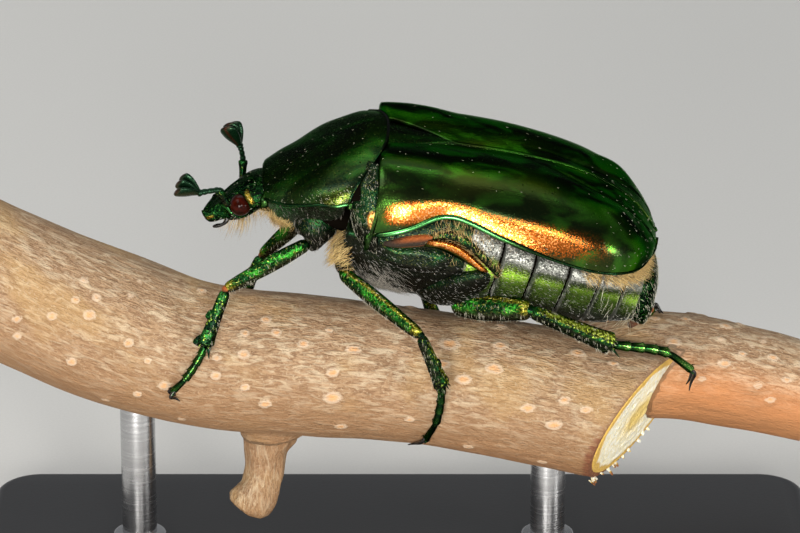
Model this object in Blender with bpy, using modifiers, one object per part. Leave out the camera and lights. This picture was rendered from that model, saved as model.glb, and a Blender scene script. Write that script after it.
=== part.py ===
"""A life-size copper chafer gripping a cut branch, on a small display stand.

Lengths are millimetres until a mesh is made. X runs along the branch, +Y is the
beetle's right side and +Z is up. The insect's own frame (u towards the tail, v to
its right, w up) starts at the middle of the scutellum's base and is pitched tail down.
"""

import math

import bmesh
import bpy
from mathutils import Euler, Matrix, Vector

MM = 0.001
GAP = 0.3
MERGE = 1e-6

# Stand and perch
BASE_SIZE = (36.0, 15.0, 1.6)
BASE_EDGE = 0.5
BASE_CORNER = 2.0
ROD_RADIUS = 0.75
ROD_SIDES = 16
BARK_SWELL = 1.03
ROD_STATIONS = (-11.3, 6.4)
BRANCH_DATUM = 14.5
BRANCH_SIDES = 20
BRANCH_STEPS = 22
FORK_STEPS = 12
TWIG_SIDES = 12
BRANCH_AXIS = (
    (-19.5, 0.0, 0.6, 3.15),
    (-15.0, 0.0, -1.7, 3.2),
    (-12.7, 0.0, -2.7, 3.25),
    (-9.0, 0.0, -3.95, 3.1),
    (-4.0, 0.0, -4.55, 3.05),
    (0.0, 0.0, -4.95, 2.9),
    (4.0, 0.0, -5.55, 2.95),
    (8.0, 0.0, -6.4, 3.05),
    (14.0, 0.0, -7.7, 3.1),
)
CUT_POINT = (10.2, 0.0, -6.85)
CUT_NORMAL = (0.790, -0.460, -0.405)
SAW_SIZE = 20.0
FORK_AXIS = (
    (4.5, 0.6, -5.7, 2.0),
    (8.0, 1.9, -5.5, 2.25),
    (12.0, 2.7, -5.72, 2.3),
    (15.0, 2.95, -6.4, 2.25),
    (19.0, 3.0, -7.45, 2.1),
)
PERCH_ENDS = (-17.4, 17.4)
TWIG_AXIS = (
    (-5.4, 0.0, -5.6, 1.75),
    (-5.75, -0.1, -7.9, 1.15),
    (-5.8, -0.2, -9.2, 0.82),
    (-6.05, -0.3, -10.3, 0.88),
    (-6.45, -0.3, -11.1, 0.95),
)

# Placing of the insect
BODY_POINT = (-0.404, 0.0, BRANCH_DATUM + 6.128)
BODY_PITCH = math.radians(14.0)

# Elytra, as (u, value) stations in the body frame
ELYTRON_THICKNESS = 0.6
ELYTRON_TIP = 12.02
ELYTRON_HALF_WIDTH = 5.05
ELYTRON_ROUND_FROM = 8.4
ELYTRON_ROUND_POWER = 2.5
ELYTRON_SECTION_POWER = 3.4
SUTURE_HEIGHT = ((-0.1, -0.12), (2.9, 0.1), (5.6, 0.3), (8.2, 0.24), (10.0, -0.2), (11.0, -0.7), (11.7, -1.3),
                 (12.02, -1.68))
MARGIN_HEIGHT = ((-0.1, -2.95), (0.3, -2.76), (1.4, -2.11), (2.4, -1.45), (3.3, -1.25), (5.4, -1.64), (8.4, -2.12),
                 (11.2, -2.1), (12.02, -1.75))
SHOULDER_WIDTH = ((-0.1, 4.8), (0.4, 4.98), (1.2, 5.12), (2.8, 4.9), (5.0, 5.02), (8.4, 5.05))
DISC_BULGE = 0.34
DISC_MIDDLE = 3.4
DISC_REACH = 7.4
SUTURE_TROUGH = 0.16
TROUGH_MIDDLE = (8.8, 1.1)
TROUGH_REACH = (2.6, 1.0)
SHOULDER_RISE = 0.3
SHOULDER_MIDDLE = (1.2, 3.5)
SHOULDER_REACH = 1.9
CALLUS_RISE = 0.16
CALLUS_MIDDLE = (10.0, 2.9)
CALLUS_REACH = 1.2
FRONT_BOW = 0.22
ELYTRON_ROWS = 26
ELYTRON_COLUMNS = 13

# Scutellum
SCUTELLUM_LENGTH = 2.85
SCUTELLUM_HALF_WIDTH = 1.5
SCUTELLUM_TIP = 0.08
SCUTELLUM_THICKNESS = 0.7
SCUTELLUM_CROWN = 0.08
SCUTELLUM_STEPS = 8

# Pronotum, as (height along the middle line) and (edge line) from its hind edge to its front edge
PRONOTUM_MIDDLE = ((-0.3, 0.2), (-0.95, 0.0), (-1.75, -0.48), (-2.4, -1.02), (-3.25, -1.72), (-4.05, -2.34),
                   (-4.85, -3.0))
PRONOTUM_EDGE = ((-1.28, 4.35, -1.95), (-1.8, 4.33, -2.2), (-2.5, 4.05, -2.42), (-3.15, 3.6, -2.78),
                 (-3.7, 3.1, -3.1), (-4.25, 2.6, -3.28), (-4.6, 2.2, -3.4))
PRONOTUM_SECTION_POWER = 2.2
PRONOTUM_EDGE_DEPTH = 0.5
PRONOTUM_ROWS = 14
PRONOTUM_COLUMNS = 22

# Trunk rings: u, roof height, shoulder (v, w), side (v, w), fold (v, w), belly height
TRUNK = (
    (-0.75, -2.75, 2.7, -3.0, 3.6, -3.4, 3.2, -4.4, -5.35),
    (0.4, -1.3, 3.6, -2.2, 4.25, -3.2, 3.7, -4.7, -5.9),
    (1.6, -1.1, 3.95, -1.95, 4.45, -2.7, 4.1, -4.4, -6.15),
    (3.0, -0.95, 3.95, -1.25, 4.55, -2.0, 4.3, -4.1, -6.2),
    (5.0, -0.75, 4.05, -1.55, 4.7, -2.3, 4.3, -3.9, -5.95),
    (7.0, -0.65, 4.05, -1.9, 4.7, -2.55, 4.15, -3.85, -5.8),
    (9.4, -0.95, 3.85, -2.15, 4.45, -2.75, 3.85, -3.9, -5.7),
    (10.8, -1.65, 3.1, -2.4, 3.75, -2.9, 3.3, -4.05, -5.65),
    (11.9, -2.5, 2.0, -2.75, 2.7, -3.1, 2.4, -4.4, -5.45),
)
TRUNK_SIDES = 28
MESOTHORAX_SPAN = (-0.75, 0.85)
METATHORAX_SPAN = (1.15, 5.0)
ABDOMEN_SPAN = (5.3, 11.75)
STERNITE_SEAMS = (6.85, 8.35, 9.69, 10.85)
SEAM_DEPTH = 0.05
SEAM_HALF_LENGTH = 0.16
PYGIDIUM_RINGS = (
    (12.0, -2.45, 2.3, -3.9, 2.5, -5.45),
    (12.28, -2.6, 2.15, -3.9, 2.35, -5.6),
    (12.5, -2.95, 1.8, -4.1, 2.0, -5.65),
    (12.64, -3.5, 1.2, -4.4, 1.35, -5.4),
)
PYGIDIUM_SIDES = 20
EPIMERON_SPINE = (
    ((-0.62, 3.55, -1.0), 0.16, 0.3),
    ((-0.68, 3.95, -1.5), 0.26, 0.38),
    ((-0.6, 4.15, -2.2), 0.34, 0.42),
    ((-0.45, 4.1, -3.0), 0.38, 0.42),
    ((-0.2, 3.8, -3.8), 0.28, 0.38),
)

# Prothorax below the pronotum: u, roof height, half width, floor height
PROSTERNUM_RINGS = (
    (-4.12, -4.1, 1.2, -4.8),
    (-3.8, -3.85, 2.0, -5.02),
    (-3.2, -3.4, 3.0, -5.15),
    (-2.2, -3.05, 3.55, -5.1),
    (-1.5, -2.95, 3.5, -4.9),
    (-1.15, -3.1, 3.2, -4.7),
)
PROSTERNUM_SIDES = 20

# Head, in its own frame: x towards the clypeus tip, y to the beetle's left, z off the forehead
HEAD_POINT = (-6.13, 0.1, BRANCH_DATUM + 4.36)
HEAD_PITCH = math.radians(40.0)
HEAD_YAW = math.radians(13.0)
HEAD_RINGS = (
    (0.14, 1.15, -0.45, -1.15, 2.2),
    (0.42, 1.5, -0.1, -1.36, 2.4),
    (0.9, 1.68, 0.05, -1.38, 2.6),
    (1.35, 1.55, 0.04, -1.28, 2.8),
    (1.8, 1.28, 0.0, -1.1, 3.2),
    (2.25, 1.22, -0.04, -0.85, 3.6),
    (2.65, 1.24, -0.06, -0.68, 3.8),
    (2.9, 1.15, -0.02, -0.58, 3.8),
    (3.0, 0.95, -0.1, -0.5, 3.2),
)
HEAD_SIDES = 24
EYE_CENTRE = (0.9, 1.46, -0.64)
EYE_RADII = (0.48, 0.48, 0.46)
MOUTH_BRUSH = (((1.2, 0.0, -1.05), 0.8, 0.3), ((1.8, 0.0, -0.95), 0.62, 0.28), ((2.25, 0.0, -0.75), 0.4, 0.22))
PALP = ((1.9, 0.6, -0.7), (2.4, 0.74, -0.82), (2.85, 0.72, -0.72))
PALP_RADII = (0.25, 0.24, 0.15)

# Antennae, as points in the world above the branch datum, and their leaf tips
ANTENNA_LEFT = ((-7.3, -1.82, 3.66), (-7.6, -1.98, 4.25), (-8.05, -2.2, 4.28), (-8.5, -2.35, 4.25))
LEAVES_LEFT = ((-9.28, -2.2, 5.1), (-9.5, -2.55, 4.86), (-9.55, -2.95, 4.55))
ANTENNA_RIGHT = ((-6.72, 2.3, 3.3), (-6.7, 2.4, 3.95), (-6.76, 2.3, 4.4), (-6.85, 2.25, 4.72))
LEAVES_RIGHT = ((-7.42, 1.9, 5.62), (-7.3, 2.25, 5.68), (-7.1, 2.6, 5.62))
SCAPE_RADIUS = 0.3
STALK_RADIUS = 0.25
LEAF_HALF_WIDTH = 0.34
LEAF_HALF_THICKNESS = 0.22

# Legs, as world points above the branch datum: hip, knee, ankle, then the foot's joints and the claw tip
LEG_FRONT_LEFT = {
    "coxa": ((-3.35, -1.35, 3.1), (-3.75, -1.7, 1.9)),
    "hip": (-4.0, -1.85, 1.72),
    "knee": (-7.3, -2.75, 0.1),
    "ankle": (-8.24, -3.15, -2.35),
    "foot": ((-8.42, -3.3, -2.75), (-8.75, -3.45, -3.3), (-9.1, -3.6, -3.8), (-9.6, -3.7, -4.45)),
    "claw": (-9.35, -3.45, -4.9),
}
LEG_MIDDLE_LEFT = {
    "coxa": ((-1.75, -1.2, 1.5), (-2.25, -1.75, 0.75)),
    "hip": (-2.35, -2.15, 0.5),
    "knee": (0.85, -4.35, -1.35),
    "ankle": (1.8, -3.75, -3.95),
    "foot": ((1.75, -3.75, -4.35), (1.68, -3.7, -5.1), (1.5, -3.45, -6.05), (1.1, -2.95, -7.25)),
    "claw": (0.5, -2.0, -8.1),
}
LEG_HIND_LEFT = {
    "hip": (2.3, -2.75, -0.95),
    "knee": (5.4, -4.15, -0.4),
    "ankle": (8.95, -2.75, -2.35),
    "foot": ((9.35, -2.55, -2.6), (10.3, -2.15, -2.85), (11.2, -1.75, -3.2), (12.55, -1.05, -4.15)),
    "claw": (12.7, -0.75, -4.85),
}
LEG_FRONT_RIGHT = {
    "coxa": ((-3.35, 1.35, 3.1), (-3.75, 1.7, 1.9)),
    "hip": (-4.0, 1.95, 1.6),
    "knee": (-5.95, 3.6, -0.9),
    "ankle": (-7.0, 3.5, -3.1),
    "foot": ((-7.2, 3.5, -3.5), (-7.5, 3.6, -4.1), (-7.8, 3.6, -4.7), (-8.2, 3.5, -5.4)),
    "claw": (-8.0, 3.2, -5.85),
}
LEG_MIDDLE_RIGHT = {
    "coxa": ((-1.75, 1.2, 1.5), (-2.25, 1.75, 0.75)),
    "hip": (-2.35, 2.15, 0.5),
    "knee": (0.6, 4.35, -1.35),
    "ankle": (1.5, 3.75, -3.95),
    "foot": ((1.5, 3.75, -4.35), (1.45, 3.7, -5.1), (1.3, 3.45, -6.05), (0.95, 2.95, -7.25)),
    "claw": (0.4, 2.0, -8.1),
}
LEG_HIND_RIGHT = {
    "hip": (2.3, 2.75, -0.95),
    "knee": (5.4, 4.15, -0.5),
    "ankle": (8.6, 3.0, -2.2),
    "foot": ((8.95, 2.9, -2.45), (9.7, 2.8, -2.75), (10.4, 2.8, -2.9), (11.3, 2.8, -3.0)),
    "claw": (11.75, 2.75, -3.25),
}
COXA_RADIUS = 0.72
COXA_TAPER = (0.75, 1.0, 0.6)
# Share along the limb, half width across its flat side, half thickness
FEMUR_SHAPE = ((0.0, 0.3, 0.28), (0.1, 0.42, 0.32), (0.4, 0.5, 0.36), (0.75, 0.42, 0.33), (0.94, 0.34, 0.3),
               (1.0, 0.26, 0.26))
FRONT_FEMUR_SCALE = 0.76
MIDDLE_FEMUR_SCALE = 0.8
HIND_FEMUR_SCALE = 1.12
LEAST_HALF_WIDTH = 0.25
TIBIA_SHAPE = ((0.0, 0.26, 0.26), (0.12, 0.27, 0.26), (0.45, 0.31, 0.28), (0.8, 0.36, 0.3), (1.0, 0.4, 0.3))
LIMB_SIDES = 10
TARSUS_WAIST = 0.25
TARSUS_FLARE = 0.29
TARSUS_SIDES = 8
TARSUS_JOINTS = 5
JOINT_FLARE_AT = 0.82
CLAW_RADIUS = 0.15
CLAW_SPREAD = 0.3
TOOTH_RADIUS = 0.17
KNEE_CLEARANCE = 0.42
ANKLE_CLEARANCE = 0.2
FRONT_TEETH = ((0.45, 0.45), (0.9, 0.6))
SHIN_TEETH = ((0.55, 0.35),)

COLOURS = {
    "shell": ((0.010, 0.105, 0.025), 0.22, 0.9),
    "belly": ((0.060, 0.110, 0.055), 0.45, 0.6),
    "leg": ((0.020, 0.130, 0.030), 0.28, 0.85),
    "eye": ((0.120, 0.018, 0.012), 0.12, 0.0),
    "antenna": ((0.045, 0.022, 0.014), 0.35, 0.2),
    "bark": ((0.300, 0.215, 0.160), 0.85, 0.0),
    "stand": ((0.030, 0.030, 0.032), 0.35, 0.0),
}


def clear_scene():
    """Empties the scene that the script starts from."""
    for old in list(bpy.data.objects):
        bpy.data.objects.remove(old, do_unlink=True)


def make_material(name):
    """A Principled material of one of the model's finishes."""
    colour, roughness, metallic = COLOURS[name]
    material = bpy.data.materials.new(name)
    material.use_nodes = True
    shader = material.node_tree.nodes["Principled BSDF"]
    shader.inputs["Base Color"].default_value = (*colour, 1.0)
    shader.inputs["Roughness"].default_value = roughness
    shader.inputs["Metallic"].default_value = metallic
    return material


def lerp(a, b, share):
    """The value that lies a share of the way from a to b."""
    return a + (b - a) * share


def smooth(stations, at):
    """Reads a smooth curve through stations of (position, value, ...) and returns its values."""
    last = len(stations) - 1
    rows = [Vector(row[1:]) if len(row) > 2 else Vector((row[1], 0.0)) for row in stations]
    places = [row[0] for row in stations]
    at = min(max(at, min(places)), max(places))
    index = 0
    while index < last - 1 and at > places[index + 1]:
        index += 1
    span = places[index + 1] - places[index]
    share = (at - places[index]) / span

    def slope(k):
        if k == 0:
            return (rows[1] - rows[0]) / (places[1] - places[0])
        if k == last:
            return (rows[last] - rows[last - 1]) / (places[last] - places[last - 1])
        return (rows[k + 1] - rows[k - 1]) / (places[k + 1] - places[k - 1])

    square, cube = share ** 2, share ** 3
    start = rows[index] * (2 * cube - 3 * square + 1) + slope(index) * span * (cube - 2 * square + share)
    end = rows[index + 1] * (3 * square - 2 * cube) + slope(index + 1) * span * (cube - square)
    return start + end


def smooth_value(stations, at):
    return smooth(stations, at)[0]


def smooth_path(points, share):
    """A smooth curve through evenly counted points, at a share from 0 to 1."""
    stations = [(index, *point) for index, point in enumerate(points)]
    return smooth(stations, share * (len(points) - 1))


def closed_curve(points, count):
    """Evenly spaced points on the smooth closed curve through the given ones."""
    total = len(points)
    ring = []
    for step in range(count):
        at = step * total / count
        index = int(at)
        share = at - index
        before, start, end, after = (points[(index + k) % total] for k in (-1, 0, 1, 2))
        ring.append(0.5 * ((2.0 * start) + (end - before) * share
                           + (2.0 * before - 5.0 * start + 4.0 * end - after) * share ** 2
                           + (3.0 * start - before - 3.0 * end + after) * share ** 3))
    return ring


def superellipse(angle, power):
    """Sine and cosine of an angle, pushed out from a circle to a squarer round."""
    reach = (abs(math.cos(angle)) ** power + abs(math.sin(angle)) ** power) ** (-1.0 / power)
    return reach * math.sin(angle), reach * math.cos(angle)


def bump(distance, radius):
    """A smooth hill of height one that ends at the radius."""
    share = min(abs(distance) / radius, 1.0)
    return (1.0 - share ** 2) ** 2


class Part:
    """Makes nodes from meshes in millimetres and files them in one collection."""

    def __init__(self, name):
        self.collection = bpy.data.collections.new(name)
        self.scraps = bpy.data.collections.new(name + "_cutters")
        bpy.context.scene.collection.children.link(self.collection)
        bpy.context.scene.collection.children.link(self.scraps)
        self.materials = {key: make_material(key) for key in COLOURS}

    def node(self, name, mesh, material, parent=None):
        """A named object from a bmesh that it then frees."""
        data = bpy.data.meshes.new(name)
        bmesh.ops.recalc_face_normals(mesh, faces=mesh.faces)
        bmesh.ops.scale(mesh, vec=(MM, MM, MM), verts=mesh.verts)
        mesh.to_mesh(data)
        mesh.free()
        data.shade_smooth()
        data.set_sharp_from_angle(angle=math.radians(40.0))
        data.materials.append(self.materials[material])
        made = bpy.data.objects.new(name, data)
        made.parent = parent
        self.collection.objects.link(made)
        return made

    def scrap(self, mesh, parent=None):
        """A helper object that joins or cuts a node and is removed afterwards."""
        data = bpy.data.meshes.new("piece")
        bmesh.ops.recalc_face_normals(mesh, faces=mesh.faces)
        bmesh.ops.scale(mesh, vec=(MM, MM, MM), verts=mesh.verts)
        mesh.to_mesh(data)
        mesh.free()
        made = bpy.data.objects.new("piece", data)
        made.parent = parent
        made.hide_render = True
        made.display_type = "WIRE"
        self.scraps.objects.link(made)
        return made

    def combine(self, target, pieces, operation):
        """Applies one Boolean of all the pieces, then keeps the largest closed surface."""
        group = bpy.data.collections.new("group")
        bpy.context.scene.collection.children.link(group)
        for piece in pieces:
            group.objects.link(piece)
        step = target.modifiers.new("join", "BOOLEAN")
        step.operation = operation
        step.operand_type = "COLLECTION"
        step.collection = group
        step.solver = "EXACT"
        bpy.context.view_layer.update()
        shape = bpy.data.meshes.new_from_object(target.evaluated_get(bpy.context.evaluated_depsgraph_get()))
        target.modifiers.clear()
        target.data = shape
        keep_largest(shape)
        for piece in pieces:
            bpy.data.objects.remove(piece, do_unlink=True)
        bpy.data.collections.remove(group)


def keep_largest(data):
    """Drops every loose scrap of a mesh but the one that fills the most space."""
    mesh = bmesh.new()
    mesh.from_mesh(data)
    bmesh.ops.remove_doubles(mesh, verts=mesh.verts, dist=MERGE)
    bmesh.ops.dissolve_degenerate(mesh, edges=mesh.edges, dist=MERGE)
    mesh.verts.ensure_lookup_table()
    seen = set()
    islands = []
    for vert in mesh.verts:
        if vert in seen:
            continue
        island = {vert}
        edge_of_search = [vert]
        while edge_of_search:
            for edge in edge_of_search.pop().link_edges:
                for other in edge.verts:
                    if other not in island:
                        island.add(other)
                        edge_of_search.append(other)
        seen |= island
        islands.append(island)
    biggest = max(islands, key=len)
    bmesh.ops.delete(mesh, geom=[vert for vert in mesh.verts if vert not in biggest], context="VERTS")
    bmesh.ops.triangulate(mesh, faces=mesh.faces)
    mesh.to_mesh(data)
    mesh.free()


def add_loft(mesh, rings):
    """Skins closed rings of equal count and closes both ends."""
    rows = [[mesh.verts.new(point) for point in ring] for ring in rings]
    count = len(rows[0])
    for near, far in zip(rows, rows[1:]):
        for k in range(count):
            mesh.faces.new((near[k], near[(k + 1) % count], far[(k + 1) % count], far[k]))
    for row, ring in ((rows[0], rings[0]), (rows[-1], rings[-1])):
        middle = mesh.verts.new(sum((Vector(point) for point in ring), Vector()) / count)
        for k in range(count):
            mesh.faces.new((row[k], row[(k + 1) % count], middle))


def loft(rings):
    mesh = bmesh.new()
    add_loft(mesh, rings)
    return mesh


def limb_rings(points, sizes, sides, flat_side):
    """Rings across a path: sizes are (half width, half thickness), flat_side the thin direction."""
    rings = []
    last = len(points) - 1
    for index, (point, (half_width, half_thickness)) in enumerate(zip(points, sizes)):
        along = (points[min(index + 1, last)] - points[max(index - 1, 0)]).normalized()
        across = along.cross(flat_side).normalized()
        thin = across.cross(along).normalized()
        ring = []
        for k in range(sides):
            angle = math.tau * k / sides
            ring.append(point + across * half_width * math.cos(angle) + thin * half_thickness * math.sin(angle))
        rings.append(ring)
    return rings


def straight_limb(start, end, shape, sides, flat_side, scale=1.0):
    points = [start.lerp(end, share) for share, _, _ in shape]
    sizes = [tuple(max(size * scale, LEAST_HALF_WIDTH) for size in row[1:]) for row in shape]
    return limb_rings(points, sizes, sides, flat_side)


def cone_rings(root, tip, radius, sides=6):
    """A thorn that tapers to a small blunt tip."""
    along = (tip - root).normalized()
    side = along.orthogonal().normalized()
    points = [root, root.lerp(tip, 0.6), tip]
    sizes = [(radius, radius), (radius * 0.6, radius * 0.6), (radius * 0.15, radius * 0.15)]
    return limb_rings(points, sizes, sides, side)


def above_datum(point):
    return Vector((point[0], point[1], point[2] + BRANCH_DATUM))


def elytron_half_width(u):
    """Plan outline: the shoulder stations, then a superellipse round the tip."""
    if u <= ELYTRON_ROUND_FROM:
        return smooth_value(SHOULDER_WIDTH, u)
    share = min((u - ELYTRON_ROUND_FROM) / (ELYTRON_TIP - ELYTRON_ROUND_FROM), 1.0)
    return ELYTRON_HALF_WIDTH * max(1.0 - share ** ELYTRON_ROUND_POWER, 0.0) ** (1.0 / ELYTRON_ROUND_POWER)


def scutellum_half_width(u):
    share = min(max(u / SCUTELLUM_LENGTH, 0.0), 1.0)
    return SCUTELLUM_HALF_WIDTH * (1.0 - share) * (1.0 + 0.25 * share)


def elytron_inner_edge(u):
    """Distance of an elytron's inner edge from the middle: beside the scutellum, then along the suture."""
    if u >= SCUTELLUM_LENGTH + 0.4:
        return 0.5 * GAP
    beside = scutellum_half_width(u) + GAP * 1.1
    return max(0.5 * GAP, beside)


def elytron_point(u, share):
    """The outer face from the inner edge (share 0) round to the side margin (share 1)."""
    inner = elytron_inner_edge(u)
    outer = max(elytron_half_width(u), inner + 0.12)
    suture = smooth_value(SUTURE_HEIGHT, u)
    margin = smooth_value(MARGIN_HEIGHT, u)
    side, height = superellipse(share * math.pi / 2, ELYTRON_SECTION_POWER)
    v = inner + (outer - inner) * side
    rise = DISC_BULGE * math.sin(math.pi * min(v / ELYTRON_HALF_WIDTH, 1.0)) * bump(u - DISC_MIDDLE, DISC_REACH)
    beside = [bump(at - middle, reach) for at, middle, reach in zip((u, v), TROUGH_MIDDLE, TROUGH_REACH)]
    trough = SUTURE_TROUGH * beside[0] * beside[1]
    shoulder = SHOULDER_RISE * bump(math.dist((u, v), SHOULDER_MIDDLE), SHOULDER_REACH)
    callus = CALLUS_RISE * bump(math.dist((u, v), CALLUS_MIDDLE), CALLUS_REACH)
    w = lerp(margin, suture, height) + rise - trough + shoulder + callus
    bow = FRONT_BOW * bump(v - 3.2, 1.6) * bump(u, 1.5)
    return Vector((u - bow, v, w))


def build_elytron(part, body, name, side):
    """A wing case: the curved outer face given its thickness inwards."""
    mesh = bmesh.new()
    rows = []
    for i in range(ELYTRON_ROWS + 1):
        share = i / ELYTRON_ROWS
        u = lerp(-0.02, ELYTRON_TIP - 0.04, math.sin(share * math.pi / 2) ** 0.85 if share < 1 else 1.0)
        row = []
        for j in range(ELYTRON_COLUMNS + 1):
            point = elytron_point(u, j / ELYTRON_COLUMNS)
            row.append(mesh.verts.new((point.x, side * point.y, point.z)))
        rows.append(row)
    for near, far in zip(rows, rows[1:]):
        for j in range(ELYTRON_COLUMNS):
            mesh.faces.new((near[j], near[j + 1], far[j + 1], far[j]))
    made = part.node(name, mesh, "shell", body)
    data = made.data
    up = sum(face.normal.z for face in data.polygons)
    if up < 0:
        data.flip_normals()
    shell = made.modifiers.new("thickness", "SOLIDIFY")
    shell.thickness = ELYTRON_THICKNESS * MM
    shell.offset = -1.0
    shell.use_even_offset = False
    return made


def build_scutellum(part, body):
    """The small triangle between the wing cases, with slightly bowed sides."""
    mesh = bmesh.new()
    outline = []
    for k in range(SCUTELLUM_STEPS + 1):
        u = SCUTELLUM_LENGTH * k / SCUTELLUM_STEPS
        outline.append((u, max(scutellum_half_width(u), SCUTELLUM_TIP if k == SCUTELLUM_STEPS else 0.0)))
    ring = outline + [(u, -v) for u, v in reversed(outline)]
    top = []
    low = []
    for u, v in ring:
        height = smooth_value(SUTURE_HEIGHT, u)
        crown = SCUTELLUM_CROWN * (1.0 - (v / SCUTELLUM_HALF_WIDTH) ** 2)
        top.append(mesh.verts.new((u, v, height + crown)))
        low.append(mesh.verts.new((u, v * 0.8, height - SCUTELLUM_THICKNESS)))
    count = len(ring)
    for k in range(count):
        mesh.faces.new((top[k], top[(k + 1) % count], low[(k + 1) % count], low[k]))
    mesh.faces.new(top)
    mesh.faces.new(list(reversed(low)))
    bmesh.ops.triangulate(mesh, faces=mesh.faces)
    return part.node("scutellum", mesh, "shell", body)


def pronotum_ring(share):
    """A closed section of the pronotum: the dome above and its inner face below."""
    at = share * (len(PRONOTUM_MIDDLE) - 1)
    middle = smooth([(k, *row) for k, row in enumerate(PRONOTUM_MIDDLE)], at)
    edge = smooth([(k, *row) for k, row in enumerate(PRONOTUM_EDGE)], at)
    ring = []
    for k in range(PRONOTUM_COLUMNS + 1):
        angle = lerp(-math.pi / 2, math.pi / 2, k / PRONOTUM_COLUMNS)
        side, height = superellipse(angle, PRONOTUM_SECTION_POWER)
        u = lerp(middle[0], edge[0], abs(side) ** 2.5)
        w = lerp(edge[2], middle[1], height)
        ring.append(Vector((u, edge[1] * side, w)))
    floor = PRONOTUM_COLUMNS // 2
    for k in range(1, floor):
        across = lerp(1.0, -1.0, k / floor)
        u = lerp(middle[0], edge[0], abs(across) ** 2.5)
        w = edge[2] - PRONOTUM_EDGE_DEPTH * (1.0 - across ** 2) * 0.25
        ring.append(Vector((u, edge[1] * across * 0.96, w)))
    return ring


def build_pronotum(part, body):
    rings = [pronotum_ring(k / PRONOTUM_ROWS) for k in range(PRONOTUM_ROWS + 1)]
    return part.node("pronotum", loft(rings), "shell", body)


def oval_ring(u, roof, half_width, floor, sides, power=2.4):
    middle = 0.5 * (roof + floor)
    half = 0.5 * (roof - floor)
    ring = []
    for k in range(sides):
        side, height = superellipse(math.tau * k / sides, power)
        ring.append(Vector((u, half_width * side, middle + half * height)))
    return ring


def build_prosternum(part, body):
    rings = [oval_ring(u, roof, width, floor, PROSTERNUM_SIDES) for u, roof, width, floor in PROSTERNUM_RINGS]
    prosternum = part.node("prosternum", loft(rings), "belly", body)
    cut_sockets(part, prosternum, (LEG_FRONT_LEFT, LEG_FRONT_RIGHT))


def trunk_ring(u, shrink=0.0):
    """A section of the body under the wing cases, from its roof round to its belly."""
    roof, shoulder_v, shoulder_w, side_v, side_w, fold_v, fold_w, belly = trunk_row(u)
    side_v -= shrink
    fold_v -= shrink
    belly += shrink
    half = [(0.0, roof), (0.55 * shoulder_v, lerp(roof, shoulder_w, 0.25)), (shoulder_v, shoulder_w),
            (side_v, side_w), (lerp(side_v, fold_v, 0.5) + 0.08, lerp(side_w, fold_w, 0.5)), (fold_v, fold_w),
            (0.72 * fold_v, lerp(fold_w, belly, 0.55)), (0.36 * fold_v, lerp(fold_w, belly, 0.9)), (0.0, belly)]
    mirrored = [(-v, w) for v, w in reversed(half[1:-1])]
    return closed_curve([Vector((u, v, w)) for v, w in half + mirrored], TRUNK_SIDES)


def trunk_row(u):
    values = []
    for column in range(1, len(TRUNK[0])):
        values.append(smooth_value([(row[0], row[column]) for row in TRUNK], u))
    return values


def trunk_loft(span, seams=(), steps=8):
    """Body rings between two stations, pinched where one plate slips under the next."""
    places = {round(lerp(span[0], span[1], k / steps), 3): 0.0 for k in range(steps + 1)}
    for seam in seams:
        places[seam - SEAM_HALF_LENGTH] = 0.0
        places[seam] = SEAM_DEPTH
        places[seam + 0.05] = 0.0
    ordered = sorted(places)
    kept = [u for k, u in enumerate(ordered) if k == 0 or u - ordered[k - 1] > 0.03]
    return [trunk_ring(u, places[u]) for u in kept]


def build_trunk(part, body):
    """Mesothorax with its two side wedges, metathorax, and the ringed abdomen."""
    mesothorax = part.node("mesothorax", loft(trunk_loft(MESOTHORAX_SPAN, steps=4)), "belly", body)
    wedges = []
    for side in (-1, 1):
        points = [Vector((u, side * v, w)) for (u, v, w), _, _ in EPIMERON_SPINE]
        sizes = [(length, width) for _, length, width in EPIMERON_SPINE]
        wedges.append(part.scrap(loft(limb_rings(points, sizes, 10, Vector((0.0, 1.0, 0.0)))), body))
    part.combine(mesothorax, wedges, "UNION")
    cut_sockets(part, mesothorax, (LEG_MIDDLE_LEFT, LEG_MIDDLE_RIGHT))
    metathorax = part.node("metathorax", loft(trunk_loft(METATHORAX_SPAN, steps=7)), "belly", body)
    cut_sockets(part, metathorax, (LEG_MIDDLE_LEFT, LEG_MIDDLE_RIGHT))
    part.node("abdomen", loft(trunk_loft(ABDOMEN_SPAN, STERNITE_SEAMS, steps=8)), "belly", body)


def build_pygidium(part, body):
    """The upright plate that closes the tail below the wing cases."""
    rings = []
    for u, roof, width_high, waist, width_low, floor in PYGIDIUM_RINGS:
        ring = []
        for k in range(PYGIDIUM_SIDES):
            side, height = superellipse(math.tau * k / PYGIDIUM_SIDES, 2.4)
            width = width_high if height > 0 else width_low
            w = lerp(waist, roof, height) if height > 0 else lerp(waist, floor, -height)
            ring.append(Vector((u, width * side, w)))
        rings.append(ring)
    return part.node("pygidium", loft(rings), "shell", body)


def ellipsoid(centre, radii, columns=14, rows=10):
    mesh = bmesh.new()
    bmesh.ops.create_uvsphere(mesh, u_segments=columns, v_segments=rows, radius=1.0)
    bmesh.ops.scale(mesh, vec=radii, verts=mesh.verts)
    bmesh.ops.translate(mesh, vec=centre, verts=mesh.verts)
    return mesh


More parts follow.
